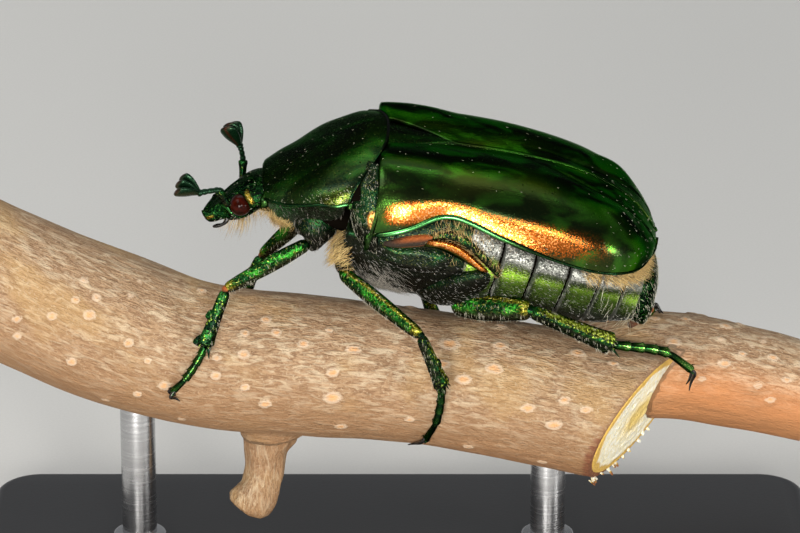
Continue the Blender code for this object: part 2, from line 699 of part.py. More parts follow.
def build_head(part, head_frame):
    """Forehead and clypeus in one capsule, with the brush below the mouth, palps and eye pits."""
    rings = [oval_ring(x, roof, width, floor, HEAD_SIDES, power) for x, width, roof, floor, power in HEAD_RINGS]
    head = part.node("head", loft(rings), "shell", head_frame)
    pieces = []
    brush_points = [Vector(point) for point, _, _ in MOUTH_BRUSH]
    brush_sizes = [(width, depth) for _, width, depth in MOUTH_BRUSH]
    brush = loft(limb_rings(brush_points, brush_sizes, 12, Vector((0.0, 0.0, 1.0))))
    pieces.append(part.scrap(brush, head_frame))
    for side in (-1, 1):
        points = [Vector((x, side * y, z)) for x, y, z in PALP]
        sizes = [(radius, radius) for radius in PALP_RADII]
        pieces.append(part.scrap(loft(limb_rings(points, sizes, 8, Vector((0.0, 0.0, 1.0)))), head_frame))
    part.combine(head, pieces, "UNION")
    pits = []
    for side in (-1, 1):
        centre = (EYE_CENTRE[0], side * EYE_CENTRE[1], EYE_CENTRE[2])
        pits.append(part.scrap(ellipsoid(centre, [radius + GAP for radius in EYE_RADII]), head_frame))
    part.combine(head, pits, "DIFFERENCE")
    for side, name in ((1, "eye_left"), (-1, "eye_right")):
        centre = (EYE_CENTRE[0], side * EYE_CENTRE[1], EYE_CENTRE[2])
        part.node(name, ellipsoid(centre, EYE_RADII), "eye", head_frame)


def build_antenna(part, name, joints, tips):
    """A stout scape, a short stalk and a club of three leaves that open like a fan."""
    points = [above_datum(point) for point in joints]
    path = [points[0], points[0].lerp(points[1], 0.6), points[1], points[2], points[3]]
    sizes = [(SCAPE_RADIUS * 0.8,) * 2, (SCAPE_RADIUS,) * 2, (STALK_RADIUS,) * 2, (STALK_RADIUS,) * 2,
             (STALK_RADIUS,) * 2]
    fan = above_datum(tips[2]) - above_datum(tips[0])
    antenna = part.node(name, loft(limb_rings(path, sizes, 8, fan.normalized())), "antenna")
    leaves = []
    for tip in tips:
        end = above_datum(tip)
        root = points[3].lerp(points[2], 0.25)
        leaf = [root, root.lerp(end, 0.35), root.lerp(end, 0.75), end]
        sizes = [(0.2, 0.16), (LEAF_HALF_WIDTH * 0.85, LEAF_HALF_THICKNESS), (LEAF_HALF_WIDTH, LEAF_HALF_THICKNESS),
                 (0.14, 0.12)]
        leaves.append(part.scrap(loft(limb_rings(leaf, sizes, 8, fan.normalized()))))
    part.combine(antenna, leaves, "UNION")


def limb_flat_side(start, end):
    """The thin direction of a limb that stands on edge: level, and across it."""
    along = (end - start).normalized()
    level = along.cross(Vector((0.0, 0.0, 1.0)))
    return level.normalized()


def shortened(start, end, cut_start, cut_end):
    along = (end - start).normalized()
    return start + along * cut_start, end - along * cut_end


def build_tibia(part, name, start, end, outer, teeth):
    """The shin: widening to its end, with teeth along the outer edge and a spur at the end."""
    near, far = shortened(start, end, KNEE_CLEARANCE, ANKLE_CLEARANCE)
    thin = limb_flat_side(near, far)
    tibia = part.node(name, loft(straight_limb(near, far, TIBIA_SHAPE, LIMB_SIDES, thin)), "leg")
    along = (far - near).normalized()
    thorns = []
    for share, length in teeth:
        root = near.lerp(far, share)
        tip = root + outer * length + along * length * 0.45
        thorns.append(part.scrap(loft(cone_rings(root, tip, TOOTH_RADIUS * 1.5))))
    spur = far - along * 0.25
    thorns.append(part.scrap(loft(cone_rings(spur, spur - outer * 0.42 + along * 0.72, TOOTH_RADIUS))))
    part.combine(tibia, thorns, "UNION")


def build_tarsus(part, name, joints, claw_tip):
    """Five flaring foot joints and a pair of hooked claws."""
    path = []
    sizes = []
    for k in range(TARSUS_JOINTS):
        path.append(smooth_path(joints, k / TARSUS_JOINTS))
        sizes.append((TARSUS_WAIST,) * 2)
        path.append(smooth_path(joints, (k + JOINT_FLARE_AT) / TARSUS_JOINTS))
        sizes.append((TARSUS_FLARE,) * 2)
    tarsus = part.node(name, loft(limb_rings(path, sizes, TARSUS_SIDES, Vector((0.3, 1.0, 0.2)))), "leg")
    end = joints[-1]
    along = (end - joints[-2]).normalized()
    reach = claw_tip - end
    across = along.cross(reach).normalized()
    claws = []
    for side in (-1, 1):
        root = path[-1].lerp(path[-2], 0.35)
        bend = end + along * 0.12 + reach * 0.35 + across * side * CLAW_SPREAD * 0.7
        tip = claw_tip + across * side * CLAW_SPREAD
        points = [root, bend, tip]
        sizes = [(CLAW_RADIUS * 1.2,) * 2, (CLAW_RADIUS,) * 2, (CLAW_RADIUS * 0.3,) * 2]
        claws.append(part.scrap(loft(limb_rings(points, sizes, 6, across))))
    part.combine(tarsus, claws, "UNION")


def coxa_rings(leg, growth=0.0):
    """The hip cone of a leg, or with some growth the socket that it sits in."""
    top, bottom = (above_datum(point) for point in leg["coxa"])
    along = (bottom - top).normalized()
    top, bottom = top - along * growth, bottom + along * growth
    points = [top, top.lerp(bottom, 0.5), bottom]
    sizes = [(COXA_RADIUS * share + growth,) * 2 for share in COXA_TAPER]
    return limb_rings(points, sizes, 12, Vector((0.0, 1.0, 0.0)))


def cut_sockets(part, target, legs):
    """Hollows a body plate round the hip cones that come out of it."""
    part.combine(target, [part.scrap(loft(coxa_rings(leg, GAP))) for leg in legs], "DIFFERENCE")


def build_leg(part, name, leg, outer, teeth, femur_scale):
    """One leg from its hip plate or hip cone down to the claws."""
    if "coxa" in leg:
        part.node(name + "_coxa", loft(coxa_rings(leg)), "belly")
    hip, knee, ankle = (above_datum(leg[key]) for key in ("hip", "knee", "ankle"))
    thin = limb_flat_side(hip, knee)
    femur = straight_limb(hip, knee, FEMUR_SHAPE, LIMB_SIDES, thin, femur_scale)
    part.node(name + "_femur", loft(femur), "leg")
    along = (ankle - knee).normalized()
    edge = Vector(outer)
    edge = (edge - along * edge.dot(along)).normalized()
    build_tibia(part, name + "_tibia", knee, ankle, edge, teeth)
    joints = [above_datum(point) for point in leg["foot"]]
    build_tarsus(part, name + "_tarsus", joints, above_datum(leg["claw"]))


def branch_rings(axis, steps):
    """Rings along an axis of (x, y, height above the datum, radius) stations."""
    points = []
    sizes = []
    for k in range(steps + 1):
        at = lerp(axis[0][0], axis[-1][0], k / steps)
        y, z, radius = smooth([(row[0], *row[1:]) for row in axis], at)
        points.append(Vector((at, y, z + BRANCH_DATUM)))
        sizes.append((radius, radius))
    return limb_rings(points, sizes, BRANCH_SIDES, Vector((0.0, 0.0, 1.0)))


def saw_block(part, point, normal):
    """A block that takes off everything past a plane."""
    block = bmesh.new()
    bmesh.ops.create_cube(block, size=SAW_SIZE)
    bmesh.ops.translate(block, vec=(0.0, 0.0, 0.5 * SAW_SIZE), verts=block.verts)
    turn = Vector(normal).to_track_quat("Z", "Y").to_matrix().to_4x4()
    bmesh.ops.transform(block, matrix=Matrix.Translation(point) @ turn, verts=block.verts)
    return part.scrap(block)


def build_branch(part):
    """A cut length of branch: the sawn stub, the fork that goes on behind it and a dead twig."""
    branch = part.node("branch", loft(branch_rings(BRANCH_AXIS, BRANCH_STEPS)), "bark")
    part.combine(branch, [saw_block(part, above_datum(CUT_POINT), CUT_NORMAL)], "DIFFERENCE")
    fork = part.scrap(loft(branch_rings(FORK_AXIS, FORK_STEPS)))
    twig_points = [above_datum(row[:3]) for row in TWIG_AXIS]
    twig_sizes = [(row[3], row[3]) for row in TWIG_AXIS]
    twig = part.scrap(loft(limb_rings(twig_points, twig_sizes, TWIG_SIDES, Vector((0.0, 1.0, 0.0)))))
    part.combine(branch, [fork, twig], "UNION")
    left, right = (Vector((end, 0.0, BRANCH_DATUM)) for end in PERCH_ENDS)
    ends = [saw_block(part, left, (-1.0, 0.0, 0.0)), saw_block(part, right, (1.0, 0.0, 0.0))]
    part.combine(branch, ends, "DIFFERENCE")


def build_stand(part):
    """A flat base with rounded edges and two short rods up to the branch."""
    base = bmesh.new()
    bmesh.ops.create_cube(base, size=1.0)
    bmesh.ops.scale(base, vec=BASE_SIZE, verts=base.verts)
    bmesh.ops.translate(base, vec=(0.0, 0.0, 0.5 * BASE_SIZE[2]), verts=base.verts)
    upright = [edge for edge in base.edges if abs(edge.verts[0].co.z - edge.verts[1].co.z) > 1.0]
    bmesh.ops.bevel(base, geom=upright, offset=BASE_CORNER, segments=4, profile=0.5, affect="EDGES")
    rim = [edge for edge in base.edges if min(vert.co.z for vert in edge.verts) > BASE_SIZE[2] - 0.01]
    bmesh.ops.bevel(base, geom=rim, offset=BASE_EDGE, segments=2, profile=0.5, affect="EDGES")
    part.node("stand_base", base, "stand")
    for station, name in zip(ROD_STATIONS, ("stand_rod_left", "stand_rod_right")):
        _, height, radius = smooth([(row[0], *row[1:]) for row in BRANCH_AXIS], station)
        low = BASE_SIZE[2] + GAP
        high = BRANCH_DATUM + height - radius * BARK_SWELL - GAP
        rod = bmesh.new()
        bmesh.ops.create_cone(rod, cap_ends=True, segments=ROD_SIDES, radius1=ROD_RADIUS, radius2=ROD_RADIUS,
                              depth=high - low)
        bmesh.ops.translate(rod, vec=(station, 0.0, 0.5 * (high + low)), verts=rod.verts)
        part.node(name, rod, "stand")


def build_frames(part):
    """Empties that carry the insect's body and its head."""
    body = bpy.data.objects.new("body_frame", None)
    body.location = Vector(BODY_POINT) * MM
    body.rotation_euler = Euler((0.0, BODY_PITCH, 0.0))
    part.collection.objects.link(body)
    head = bpy.data.objects.new("head_frame", None)
    head.location = Vector(HEAD_POINT) * MM
    turn = Matrix.Rotation(math.pi - HEAD_YAW, 4, "Z") @ Matrix.Rotation(HEAD_PITCH, 4, "Y")
    head.rotation_euler = turn.to_euler()
    part.collection.objects.link(head)
    return body, head


def main():
    clear_scene()
    part = Part("copper_chafer")
    body, head = build_frames(part)
    build_elytron(part, body, "elytron_left", -1)
    build_elytron(part, body, "elytron_right", 1)
    build_scutellum(part, body)
    build_pronotum(part, body)
    build_prosternum(part, body)
    build_trunk(part, body)
    build_pygidium(part, body)
    build_head(part, head)
    build_antenna(part, "antenna_left", ANTENNA_LEFT, LEAVES_LEFT)
    build_antenna(part, "antenna_right", ANTENNA_RIGHT, LEAVES_RIGHT)
    forward, backward, upward = (-1.0, 0.0, 0.2), (1.0, 0.0, 0.2), (0.0, 0.0, 1.0)
    build_leg(part, "leg_front_left", LEG_FRONT_LEFT, forward, FRONT_TEETH, FRONT_FEMUR_SCALE)
    build_leg(part, "leg_front_right", LEG_FRONT_RIGHT, forward, FRONT_TEETH, FRONT_FEMUR_SCALE)
    build_leg(part, "leg_middle_left", LEG_MIDDLE_LEFT, backward, SHIN_TEETH, MIDDLE_FEMUR_SCALE)
    build_leg(part, "leg_middle_right", LEG_MIDDLE_RIGHT, backward, SHIN_TEETH, MIDDLE_FEMUR_SCALE)
    build_leg(part, "leg_hind_left", LEG_HIND_LEFT, upward, SHIN_TEETH, HIND_FEMUR_SCALE)
    build_leg(part, "leg_hind_right", LEG_HIND_RIGHT, upward, SHIN_TEETH, HIND_FEMUR_SCALE)
    build_branch(part)
    build_stand(part)
    bpy.data.collections.remove(part.scraps)


if __name__ == "__main__":
    main()
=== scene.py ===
"""The looks of a life-size copper chafer that grips a cut branch on a small display stand.

Shapes are worked out in millimetres, in the model's own frame or in the frame of the insect's body or head, and each
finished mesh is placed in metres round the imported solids. X runs along the branch with the head towards -X, +Y is
the beetle's right side and +Z is up. In the body frame u runs towards the tail, v to the right and w up. In the head
frame x runs towards the tip of the snout, y to the beetle's left and z off the forehead.
"""

from __future__ import annotations

import logging
import math
from collections.abc import Callable, Sequence
from dataclasses import dataclass
from enum import Enum

import bmesh
import bpy
import numpy as np
from bmesh.types import BMEdge, BMesh
from bpy.types import Mesh, Object
from mathutils import Matrix, Vector, noise


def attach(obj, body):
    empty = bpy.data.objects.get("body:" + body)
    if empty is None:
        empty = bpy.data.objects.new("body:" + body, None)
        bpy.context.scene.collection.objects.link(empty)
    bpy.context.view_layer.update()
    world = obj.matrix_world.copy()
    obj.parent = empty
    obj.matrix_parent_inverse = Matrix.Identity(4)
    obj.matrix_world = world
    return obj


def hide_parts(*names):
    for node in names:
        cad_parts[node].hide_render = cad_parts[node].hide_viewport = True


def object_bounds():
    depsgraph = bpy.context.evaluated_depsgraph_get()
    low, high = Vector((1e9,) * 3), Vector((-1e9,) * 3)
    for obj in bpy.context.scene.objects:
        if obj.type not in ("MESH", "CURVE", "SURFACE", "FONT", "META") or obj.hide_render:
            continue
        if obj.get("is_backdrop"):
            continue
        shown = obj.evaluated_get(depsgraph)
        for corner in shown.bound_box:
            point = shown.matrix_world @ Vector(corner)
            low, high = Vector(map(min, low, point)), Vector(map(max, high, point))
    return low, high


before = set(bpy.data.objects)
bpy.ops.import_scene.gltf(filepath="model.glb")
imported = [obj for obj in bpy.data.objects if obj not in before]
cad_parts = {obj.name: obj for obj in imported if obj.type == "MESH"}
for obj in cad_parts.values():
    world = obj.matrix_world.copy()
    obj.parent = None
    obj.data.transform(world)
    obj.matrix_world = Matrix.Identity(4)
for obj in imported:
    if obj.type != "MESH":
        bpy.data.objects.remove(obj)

LOG = logging.getLogger("copper_chafer")
Array = np.ndarray
Triple = tuple[float, float, float]
Colour = Triple
Place = Callable[[Array, Array], Array]
Paint = Callable[[Array, Array], Array]
Mask = Callable[[Array, Array, Array], Array]

MM = 0.001
MERGE = 1e-5
SURFACE = "Surface"
TINT = "tint"
GRAIN = "grain"
SHADE_BELOW = "under"
BAKE = "OFBake"
BAKE_PATCH = 0.003

DATUM = 14.5
SCALE = 23.5
PICTURE_CENTRE = (400.0, 266.5)
VIEW_TILT = math.radians(22.0)
VIEW_DISTANCE = 220.0
BODY_PITCH = math.radians(14.0)
HEAD_PITCH = math.radians(40.0)
HEAD_YAW = math.radians(13.0)
WORLD = Matrix.Identity(4)
BODY = Matrix.Translation((-0.404, 0.0, DATUM + 6.128)) @ Matrix.Rotation(BODY_PITCH, 4, "Y")
HEAD = (Matrix.Translation((-6.13, 0.1, DATUM + 4.36)) @ Matrix.Rotation(math.pi - HEAD_YAW, 4, "Z")
        @ Matrix.Rotation(HEAD_PITCH, 4, "Y"))


class Side(Enum):
    """The beetle's two sides, as the sign of v in the body frame."""

    LEFT = -1
    RIGHT = 1

    @property
    def word(self) -> str:
        """The side's name as nodes write it."""
        return self.name.lower()


class Slot(Enum):
    """The record's material slots."""

    SHELL = "shell"
    BELLY = "belly"
    LEG = "leg"
    EYE = "eye"
    ANTENNA = "antenna"
    BARK = "bark"
    BASE = "stand_base"
    ROD = "stand_rod"


def lerp(low: Array | float, high: Array | float, share: Array | float) -> Array | float:
    """Goes from low to high as the share goes from 0 to 1."""
    return low + (high - low) * share


def clamp(value: Array) -> Array:
    """The value held between 0 and 1."""
    return np.clip(value, 0.0, 1.0)


def unit(vectors: Array) -> Array:
    """The vectors at length one."""
    return vectors / np.maximum(np.linalg.norm(vectors, axis=-1, keepdims=True), 1e-9)


def bump(distance: Array, radius: Array | float) -> Array:
    """A smooth hill of height one that ends at the radius."""
    share = np.minimum(np.abs(distance) / radius, 1.0)
    return (1.0 - share ** 2) ** 2


def ease(value: Array, low: float, high: float) -> Array:
    """A smooth step from 0 at low to 1 at high."""
    share = clamp((value - low) / (high - low))
    return share * share * (3.0 - 2.0 * share)


def superellipse(angle: Array, power: Array | float) -> tuple[Array, Array]:
    """Sine and cosine of an angle, pushed out from a circle to a squarer round."""
    reach = (np.abs(np.cos(angle)) ** power + np.abs(np.sin(angle)) ** power) ** (-1.0 / power)
    return reach * np.sin(angle), reach * np.cos(angle)


def above(point: Sequence[float]) -> Array:
    """A point given above the branch's datum, as one above the floor."""
    return np.array(point, float) + (0.0, 0.0, DATUM)


def in_body(points: Array) -> Array:
    """Points above the floor, in the body frame."""
    turn = np.array(BODY.inverted())
    return points @ turn[:3, :3].T + turn[:3, 3]


@dataclass(frozen=True)
class Track:
    """A smooth curve through stations of (position, value, ...), read at many positions at once."""

    stations: tuple[tuple[float, ...], ...]

    def at(self, position: Array | float) -> Array:
        """Reads the curve.

        Args:
            position: Where to read it. It holds still beyond its ends.

        Returns:
            One row of values for each position.
        """
        table = np.array(self.stations, float)
        places, values = table[:, 0], table[:, 1:]
        slopes = np.vstack([(values[1:2] - values[:1]) / (places[1] - places[0]),
                            (values[2:] - values[:-2]) / (places[2:] - places[:-2])[:, None],
                            (values[-1:] - values[-2:-1]) / (places[-1] - places[-2])])
        spot = np.clip(np.atleast_1d(position), places[0], places[-1])
        index = np.clip(np.searchsorted(places, spot, side="right") - 1, 0, len(places) - 2)
        span = (places[index + 1] - places[index])[:, None]
        share = (spot - places[index])[:, None] / span
        square, cube = share ** 2, share ** 3
        return (values[index] * (2 * cube - 3 * square + 1) + slopes[index] * span * (cube - 2 * square + share)
                + values[index + 1] * (3 * square - 2 * cube) + slopes[index + 1] * span * (cube - square))

    def value(self, position: Array | float) -> Array:
        """Reads the first value alone."""
        return self.at(position)[:, 0]

    @classmethod
    def through(cls, rows: Sequence[Sequence[float]]) -> Track:
        """A track from 0 to 1 through evenly counted rows."""
        last = len(rows) - 1
        return cls(tuple((index / last, *(float(value) for value in row)) for index, row in enumerate(rows)))


def sheet(columns: int, rows: int, place: Place, closed: bool = False, paint: Paint | None = None) -> BMesh:
    """A grid whose points are set by a function of their shares across and along.

    Args:
        columns: Faces across.
        rows: Faces along.
        place: Gives the points, in millimetres, from the shares across and along.
        closed: Whether the two sides meet, so that they are sewn and the ends are filled.
        paint: Gives the tint of each point from the same shares.

    Returns:
        The mesh, with its shares as a UV map.
    """
    mesh = bmesh.new()
    mesh.loops.layers.uv.new(SURFACE)
    tint = mesh.verts.layers.float.new(TINT)
    bmesh.ops.create_grid(mesh, x_segments=columns, y_segments=rows, size=0.5, calc_uvs=True)
    shares = np.array([vert.co[:2] for vert in mesh.verts]) + 0.5
    points = place(shares[:, 0], shares[:, 1])
    tints = paint(shares[:, 0], shares[:, 1]) if paint else np.zeros(len(points))
    for vert, point, shade in zip(mesh.verts, points, tints):
        vert.co = point
        vert[tint] = shade
    if closed:
        bmesh.ops.remove_doubles(mesh, verts=mesh.verts, dist=MERGE)
        bmesh.ops.holes_fill(mesh, edges=[edge for edge in mesh.edges if edge.is_boundary], sides=0)
    bmesh.ops.recalc_face_normals(mesh, faces=mesh.faces)
    return mesh


def outwards(mesh: BMesh, inside: Sequence[float]) -> BMesh:
    """Turns an open sheet's faces away from a point inside it."""
    mesh.normal_update()
    core = Vector(inside)
    lean = sum((face.calc_center_median() - core).dot(face.normal) * face.calc_area() for face in mesh.faces)
    if lean < 0.0:
        bmesh.ops.reverse_faces(mesh, faces=mesh.faces)
    return mesh


def merged(parts: Sequence[BMesh]) -> BMesh:
    """Puts several meshes in one and frees them."""
    whole = bmesh.new()
    scratch = bpy.data.meshes.new("scratch")
    for part in parts:
        part.to_mesh(scratch)
        part.free()
        whole.from_mesh(scratch)
    bpy.data.meshes.remove(scratch)
    return whole


def limb(track: Track, flat_side: Sequence[float], columns: int = 20, rows: int = 32, rounding: float = 0.08,
         relief: Paint | None = None, paint: Paint | None = None) -> BMesh:
    """A closed tube with round ends.

    Args:
        track: Share along to x, y, z, half width and half thickness.
        flat_side: The direction in which the tube is thin.
        columns: Faces round the tube.
        rows: Faces along it.
        rounding: Share of the length over which each end rounds off.
        relief: Gives how much further out the surface lies, as a share of its radius.
        paint: Gives the tint.

    Returns:
        The tube's mesh.
    """
    flat = np.array(flat_side, float)

    def place(turn: Array, share: Array) -> Array:
        """Sets the points of the tube."""
        along = lerp(share, 0.5 - 0.5 * np.cos(np.pi * share), 0.7)
        stations = track.at(along)
        tangent = unit(track.at(along + 0.01)[:, :3] - track.at(along - 0.01)[:, :3])
        across = unit(np.cross(tangent, flat))
        thin = np.cross(across, tangent)
        near_end = clamp(np.minimum(along, 1.0 - along) / rounding)
        size = stations[:, 3:5] * np.sqrt(np.maximum(1.0 - (1.0 - near_end) ** 2, 0.0))[:, None]
        if relief:
            size = size * (1.0 + relief(turn, along))[:, None]
        angle = turn * math.tau
        return (stations[:, :3] + across * (size[:, 0] * np.cos(angle))[:, None]
                + thin * (size[:, 1] * np.sin(angle))[:, None])

    return sheet(columns, rows, place, closed=True, paint=paint)


def thorn(root: Array, tip: Array, radius: float) -> BMesh:
    """A tooth or spur that tapers to a fine point."""
    track = Track.through([(*lerp(root, tip, share), radius * size, radius * size)
                           for share, size in ((0.0, 1.0), (0.35, 0.8), (0.7, 0.45), (1.0, 0.1))])
    along = Vector(tip - root)
    return limb(track, along.orthogonal(), columns=8, rows=8, rounding=0.03)


def operator(operation: str, flipped: bool = False) -> Callable[[Signal, Wire], Signal]:
    """An arithmetic method for signals, which adds one Math node."""

    def apply(self: Signal, other: Wire) -> Signal:
        """Adds the node."""
        first, second = (other, self) if flipped else (self, other)
        return self.graph.node("ShaderNodeMath", {"operation": operation}, {0: first, 1: second})

    return apply


class Signal:
    """One output of a shader node."""

    __add__, __radd__ = operator("ADD"), operator("ADD", flipped=True)
    __sub__, __rsub__ = operator("SUBTRACT"), operator("SUBTRACT", flipped=True)
    __mul__, __rmul__ = operator("MULTIPLY"), operator("MULTIPLY", flipped=True)
    __truediv__, sine_with = operator("DIVIDE"), operator("SINE")

    def __init__(self, graph: Graph, socket: bpy.types.NodeSocket) -> None:
        """Wraps a socket of a graph."""
        self.graph, self.socket = graph, socket

    def band(self, low: float, high: float) -> Signal:
        """A smooth step from 0 at low to 1 at high."""
        return self.graph.node("ShaderNodeMapRange", {"interpolation_type": "SMOOTHSTEP"},
                               {"Value": self, "From Min": low, "From Max": high})

    def wave(self) -> Signal:
        """The sine."""
        return self.sine_with(0.0)


Wire = Signal | float | tuple[float, ...]


class Graph:
    """A material's nodes, with one method that adds any of them."""

    def __init__(self, name: str) -> None:
        """Starts a material of this name."""
        self.material = bpy.data.materials.new(name)
        self.material.use_nodes = True
        self.tree = self.material.node_tree
        self.shader = self.tree.nodes["Principled BSDF"]

    def node(self, kind: str, settings: dict[str, object] | None = None, inputs: dict[int | str, Wire] | None = None,
             output: int | str = 0) -> Signal:
        """Adds a node.

        Args:
            kind: The node's type.
            settings: Its own properties, which are set first.
            inputs: The values or links of its sockets.
            output: The socket to hand back.

        Returns:
            The output as a signal.
        """
        made = self.tree.nodes.new(kind)
        for key, value in (settings or {}).items():
            setattr(made, key, value)
        for key, value in (inputs or {}).items():
            self.feed(made.inputs[key], value)
        return Signal(self, made.outputs[output])

    def feed(self, socket: bpy.types.NodeSocket, value: Wire) -> None:
        """Links a socket, or sets it."""
        if isinstance(value, Signal):
            self.tree.links.new(value.socket, socket)
        elif isinstance(value, tuple) and socket.type == "RGBA":
            socket.default_value = (*value, 1.0)
        else:
            socket.default_value = value

    def place(self) -> Signal:
        """The point in the object's own coordinates."""
        return self.node("ShaderNodeTexCoord", output="Object")

    def field(self, name: str) -> Signal:
        """A number that the mesh carries."""
        return self.node("ShaderNodeAttribute", {"attribute_name": name}, output="Fac")

    def lanes(self, name: str) -> Signal:
        """A vector that the mesh carries."""
        return self.node("ShaderNodeAttribute", {"attribute_name": name}, output="Vector")

    def scaled(self, vector: Signal, scale: Triple) -> Signal:
        """A vector stretched by a factor on each axis."""
        return self.node("ShaderNodeVectorMath", {"operation": "MULTIPLY"}, {0: vector, 1: scale})

    def noise(self, vector: Signal, size: float, detail: float = 2.0, distortion: float = 0.0) -> Signal:
        """Soft noise with lumps of a size in millimetres."""
        return self.node("ShaderNodeTexNoise", inputs={"Vector": vector, "Scale": 1.0 / (size * MM), "Detail": detail,
                                                       "Distortion": distortion})

    def cells(self, vector: Signal, size: float) -> Signal:
        """Distance to the nearest of many scattered points, a size in millimetres apart."""
        return self.node("ShaderNodeTexVoronoi", inputs={"Vector": vector, "Scale": 1.0 / (size * MM)})

    def mix(self, share: Wire, low: Wire, high: Wire) -> Signal:
        """One colour going over to another."""
        return self.node("ShaderNodeMix", {"data_type": "RGBA"}, {0: share, 6: low, 7: high}, output=2)

    def relief(self, height: Signal, depth: float) -> Signal:
        """A normal bent by a height whose full range is a depth in millimetres."""
        return self.node("ShaderNodeBump", inputs={"Distance": depth * MM, "Height": height})

    def dress(self, sockets: dict[str, Wire]) -> None:
        """Feeds the Principled shader."""
        for name, value in sockets.items():
            self.feed(self.shader.inputs[name], value)


@dataclass(frozen=True)
class Finish:
    """A named finish that paints one material."""

    name: str

    def material(self) -> bpy.types.Material:
        """The finish's material, painted when it is first asked for."""
        ready = bpy.data.materials.get(self.name)
        if ready:
            return ready
        graph = Graph(self.name)
        self.paint(graph)
        return graph.material

    def paint(self, graph: Graph) -> None:
        """Adds the finish's nodes."""
        raise NotImplementedError


@dataclass(frozen=True)
class Cuticle(Finish):
    """Polished chitin: two greens in soft patches, partly a painted mottled reflection, a tinted colour that breaks
    into specks and mostly stands for a painted highlight and sheen, painted glints, painted shade where it faces down,
    and fine pits with painted shade.
    """

    deep: Colour
    glow: Colour
    flush: Colour
    drift: Colour
    patch: float = 2.2
    roughness: float = 0.2
    metal: float = 1.0
    pit_spacing: float = 0.22
    pit_width: float = 0.35
    pit_depth: float = 0.012
    grit: float = 0.1
    grit_size: float = 0.045
    coat: float = 0.1
    sparkle: float = 0.3
    spark: Colour = (0.42, 0.42, 0.09)
    edge: Colour = (0.07, 0.17, 0.06)
    # The colour of painted shade on surfaces that face down, and the band of facing over which it sets in.
    lower: Colour | None = None
    shade_below_band: tuple[float, float] = (0.46, 0.66)
    ragged: float = 0.55
    # The colour of painted highlight specks where the surface is tinted.
    tint_glint: Colour = (1.0, 0.74, 0.36)

    def paint(self, graph: Graph) -> None:
        """Adds the finish's nodes."""
        spot = graph.place()
        drawn = graph.scaled(spot, (0.55, 1.0, 1.0))
        # Soft patches of a brighter green; on the wing cases these are partly a painted mottled reflection.
        patches = graph.noise(drawn, self.patch, detail=4.0, distortion=0.6).band(0.42, 0.66)
        slow = graph.noise(drawn, self.patch * 2.3, detail=1.0).band(0.45, 0.68)
        colour = graph.mix(patches, self.deep, self.glow)
        colour = graph.mix(slow * 0.6, colour, self.drift)
        grain = graph.noise(spot, self.grit_size, detail=2.0)
        # The tinted colour and its darker fringe, broken into specks; most pieces paint it as a highlight and sheen.
        tint = graph.field(TINT)
        ragged = tint + (grain - 0.5) * self.ragged * tint.band(0.0, 0.3)
        tint_fringe = tuple(value * share for value, share in zip(self.flush, (0.3, 0.24, 0.2)))
        colour = graph.mix(ragged.band(0.02, 0.42), colour, tint_fringe)
        colour = graph.mix(ragged.band(0.35, 0.85), colour, self.flush)
        # Painted glints as fine specks, and painted highlight specks where the surface is tinted.
        colour = graph.mix(grain.band(0.58, 0.7) * self.sparkle, colour, self.spark)
        colour = graph.mix(grain.band(0.54, 0.64) * tint.band(0.2, 1.0) * 0.8, colour, self.tint_glint)
        # Painted shade on surfaces that face down.
        if self.lower:
            colour = graph.mix(graph.field(SHADE_BELOW).band(*self.shade_below_band) * 0.85, colour, self.lower)
        # Painted shade in the pits.
        floor = 1.0 - graph.cells(spot, self.pit_spacing).band(self.pit_width * 0.35, self.pit_width)
        colour = graph.mix(floor * 0.6, colour, tuple(value * 0.35 for value in self.deep))
        graph.dress({
            "Base Color": colour,
            "Roughness": self.roughness + floor * 0.18 + grain * 0.08,
            "Metallic": self.metal,
            "Specular Tint": self.edge,
            "Coat Weight": self.coat,
            "Coat Roughness": 0.14,
            "Normal": graph.relief(grain * self.grit - floor, self.pit_depth),
        })


@dataclass(frozen=True)
class Lens(Finish):
    """A compound eye: a deep red-brown ball under a clear gloss, with fine facets."""

    deep: Colour = (0.01, 0.002, 0.001)
    glow: Colour = (0.048, 0.004, 0.001)

    def paint(self, graph: Graph) -> None:
        """Adds the finish's nodes."""
        spot = graph.place()
        colour = graph.mix(graph.noise(spot, 0.5).band(0.35, 0.65), self.deep, self.glow)
        facets = graph.cells(spot, 0.035)
        graph.dress({"Base Color": colour, "Roughness": 0.1, "Specular IOR Level": 0.1,
                     "Normal": graph.relief(facets, 0.0006)})


@dataclass(frozen=True)
class Horn(Finish):
    """Thin brown horn, as on feelers and mouthparts, paler or redder where it is tinted."""

    base: Colour
    tip: Colour
    roughness: float = 0.3
    metal: float = 0.35
    coat: float = 0.3
    wrinkle: float = 0.01
    gloss: float = 0.5

    def paint(self, graph: Graph) -> None:
        """Adds the finish's nodes."""
        spot = graph.place()
        grain = graph.noise(spot, 0.08, detail=3.0)
        colour = graph.mix(graph.field(TINT), self.base, self.tip)
        colour = graph.mix(grain.band(0.5, 0.75) * 0.4, colour, tuple(value * 0.4 for value in self.base))
        graph.dress({"Base Color": colour, "Roughness": self.roughness + grain * 0.12, "Metallic": self.metal,
                     "Specular IOR Level": self.gloss, "Coat Weight": self.coat, "Coat Roughness": 0.15,
                     "Normal": graph.relief(grain, self.wrinkle)})


@dataclass(frozen=True)
class Bristle(Finish):
    """Hair whose shade goes from root to pale with the tint of each one."""

    dark: Colour
    pale: Colour
    roughness: float = 0.5

    def paint(self, graph: Graph) -> None:
        """Adds the finish's nodes."""
        shade = graph.field(TINT)
        colour = graph.mix(shade, self.dark, self.pale)
        graph.dress({"Base Color": colour, "Roughness": self.roughness + shade * 0.1, "Specular IOR Level": 0.6})


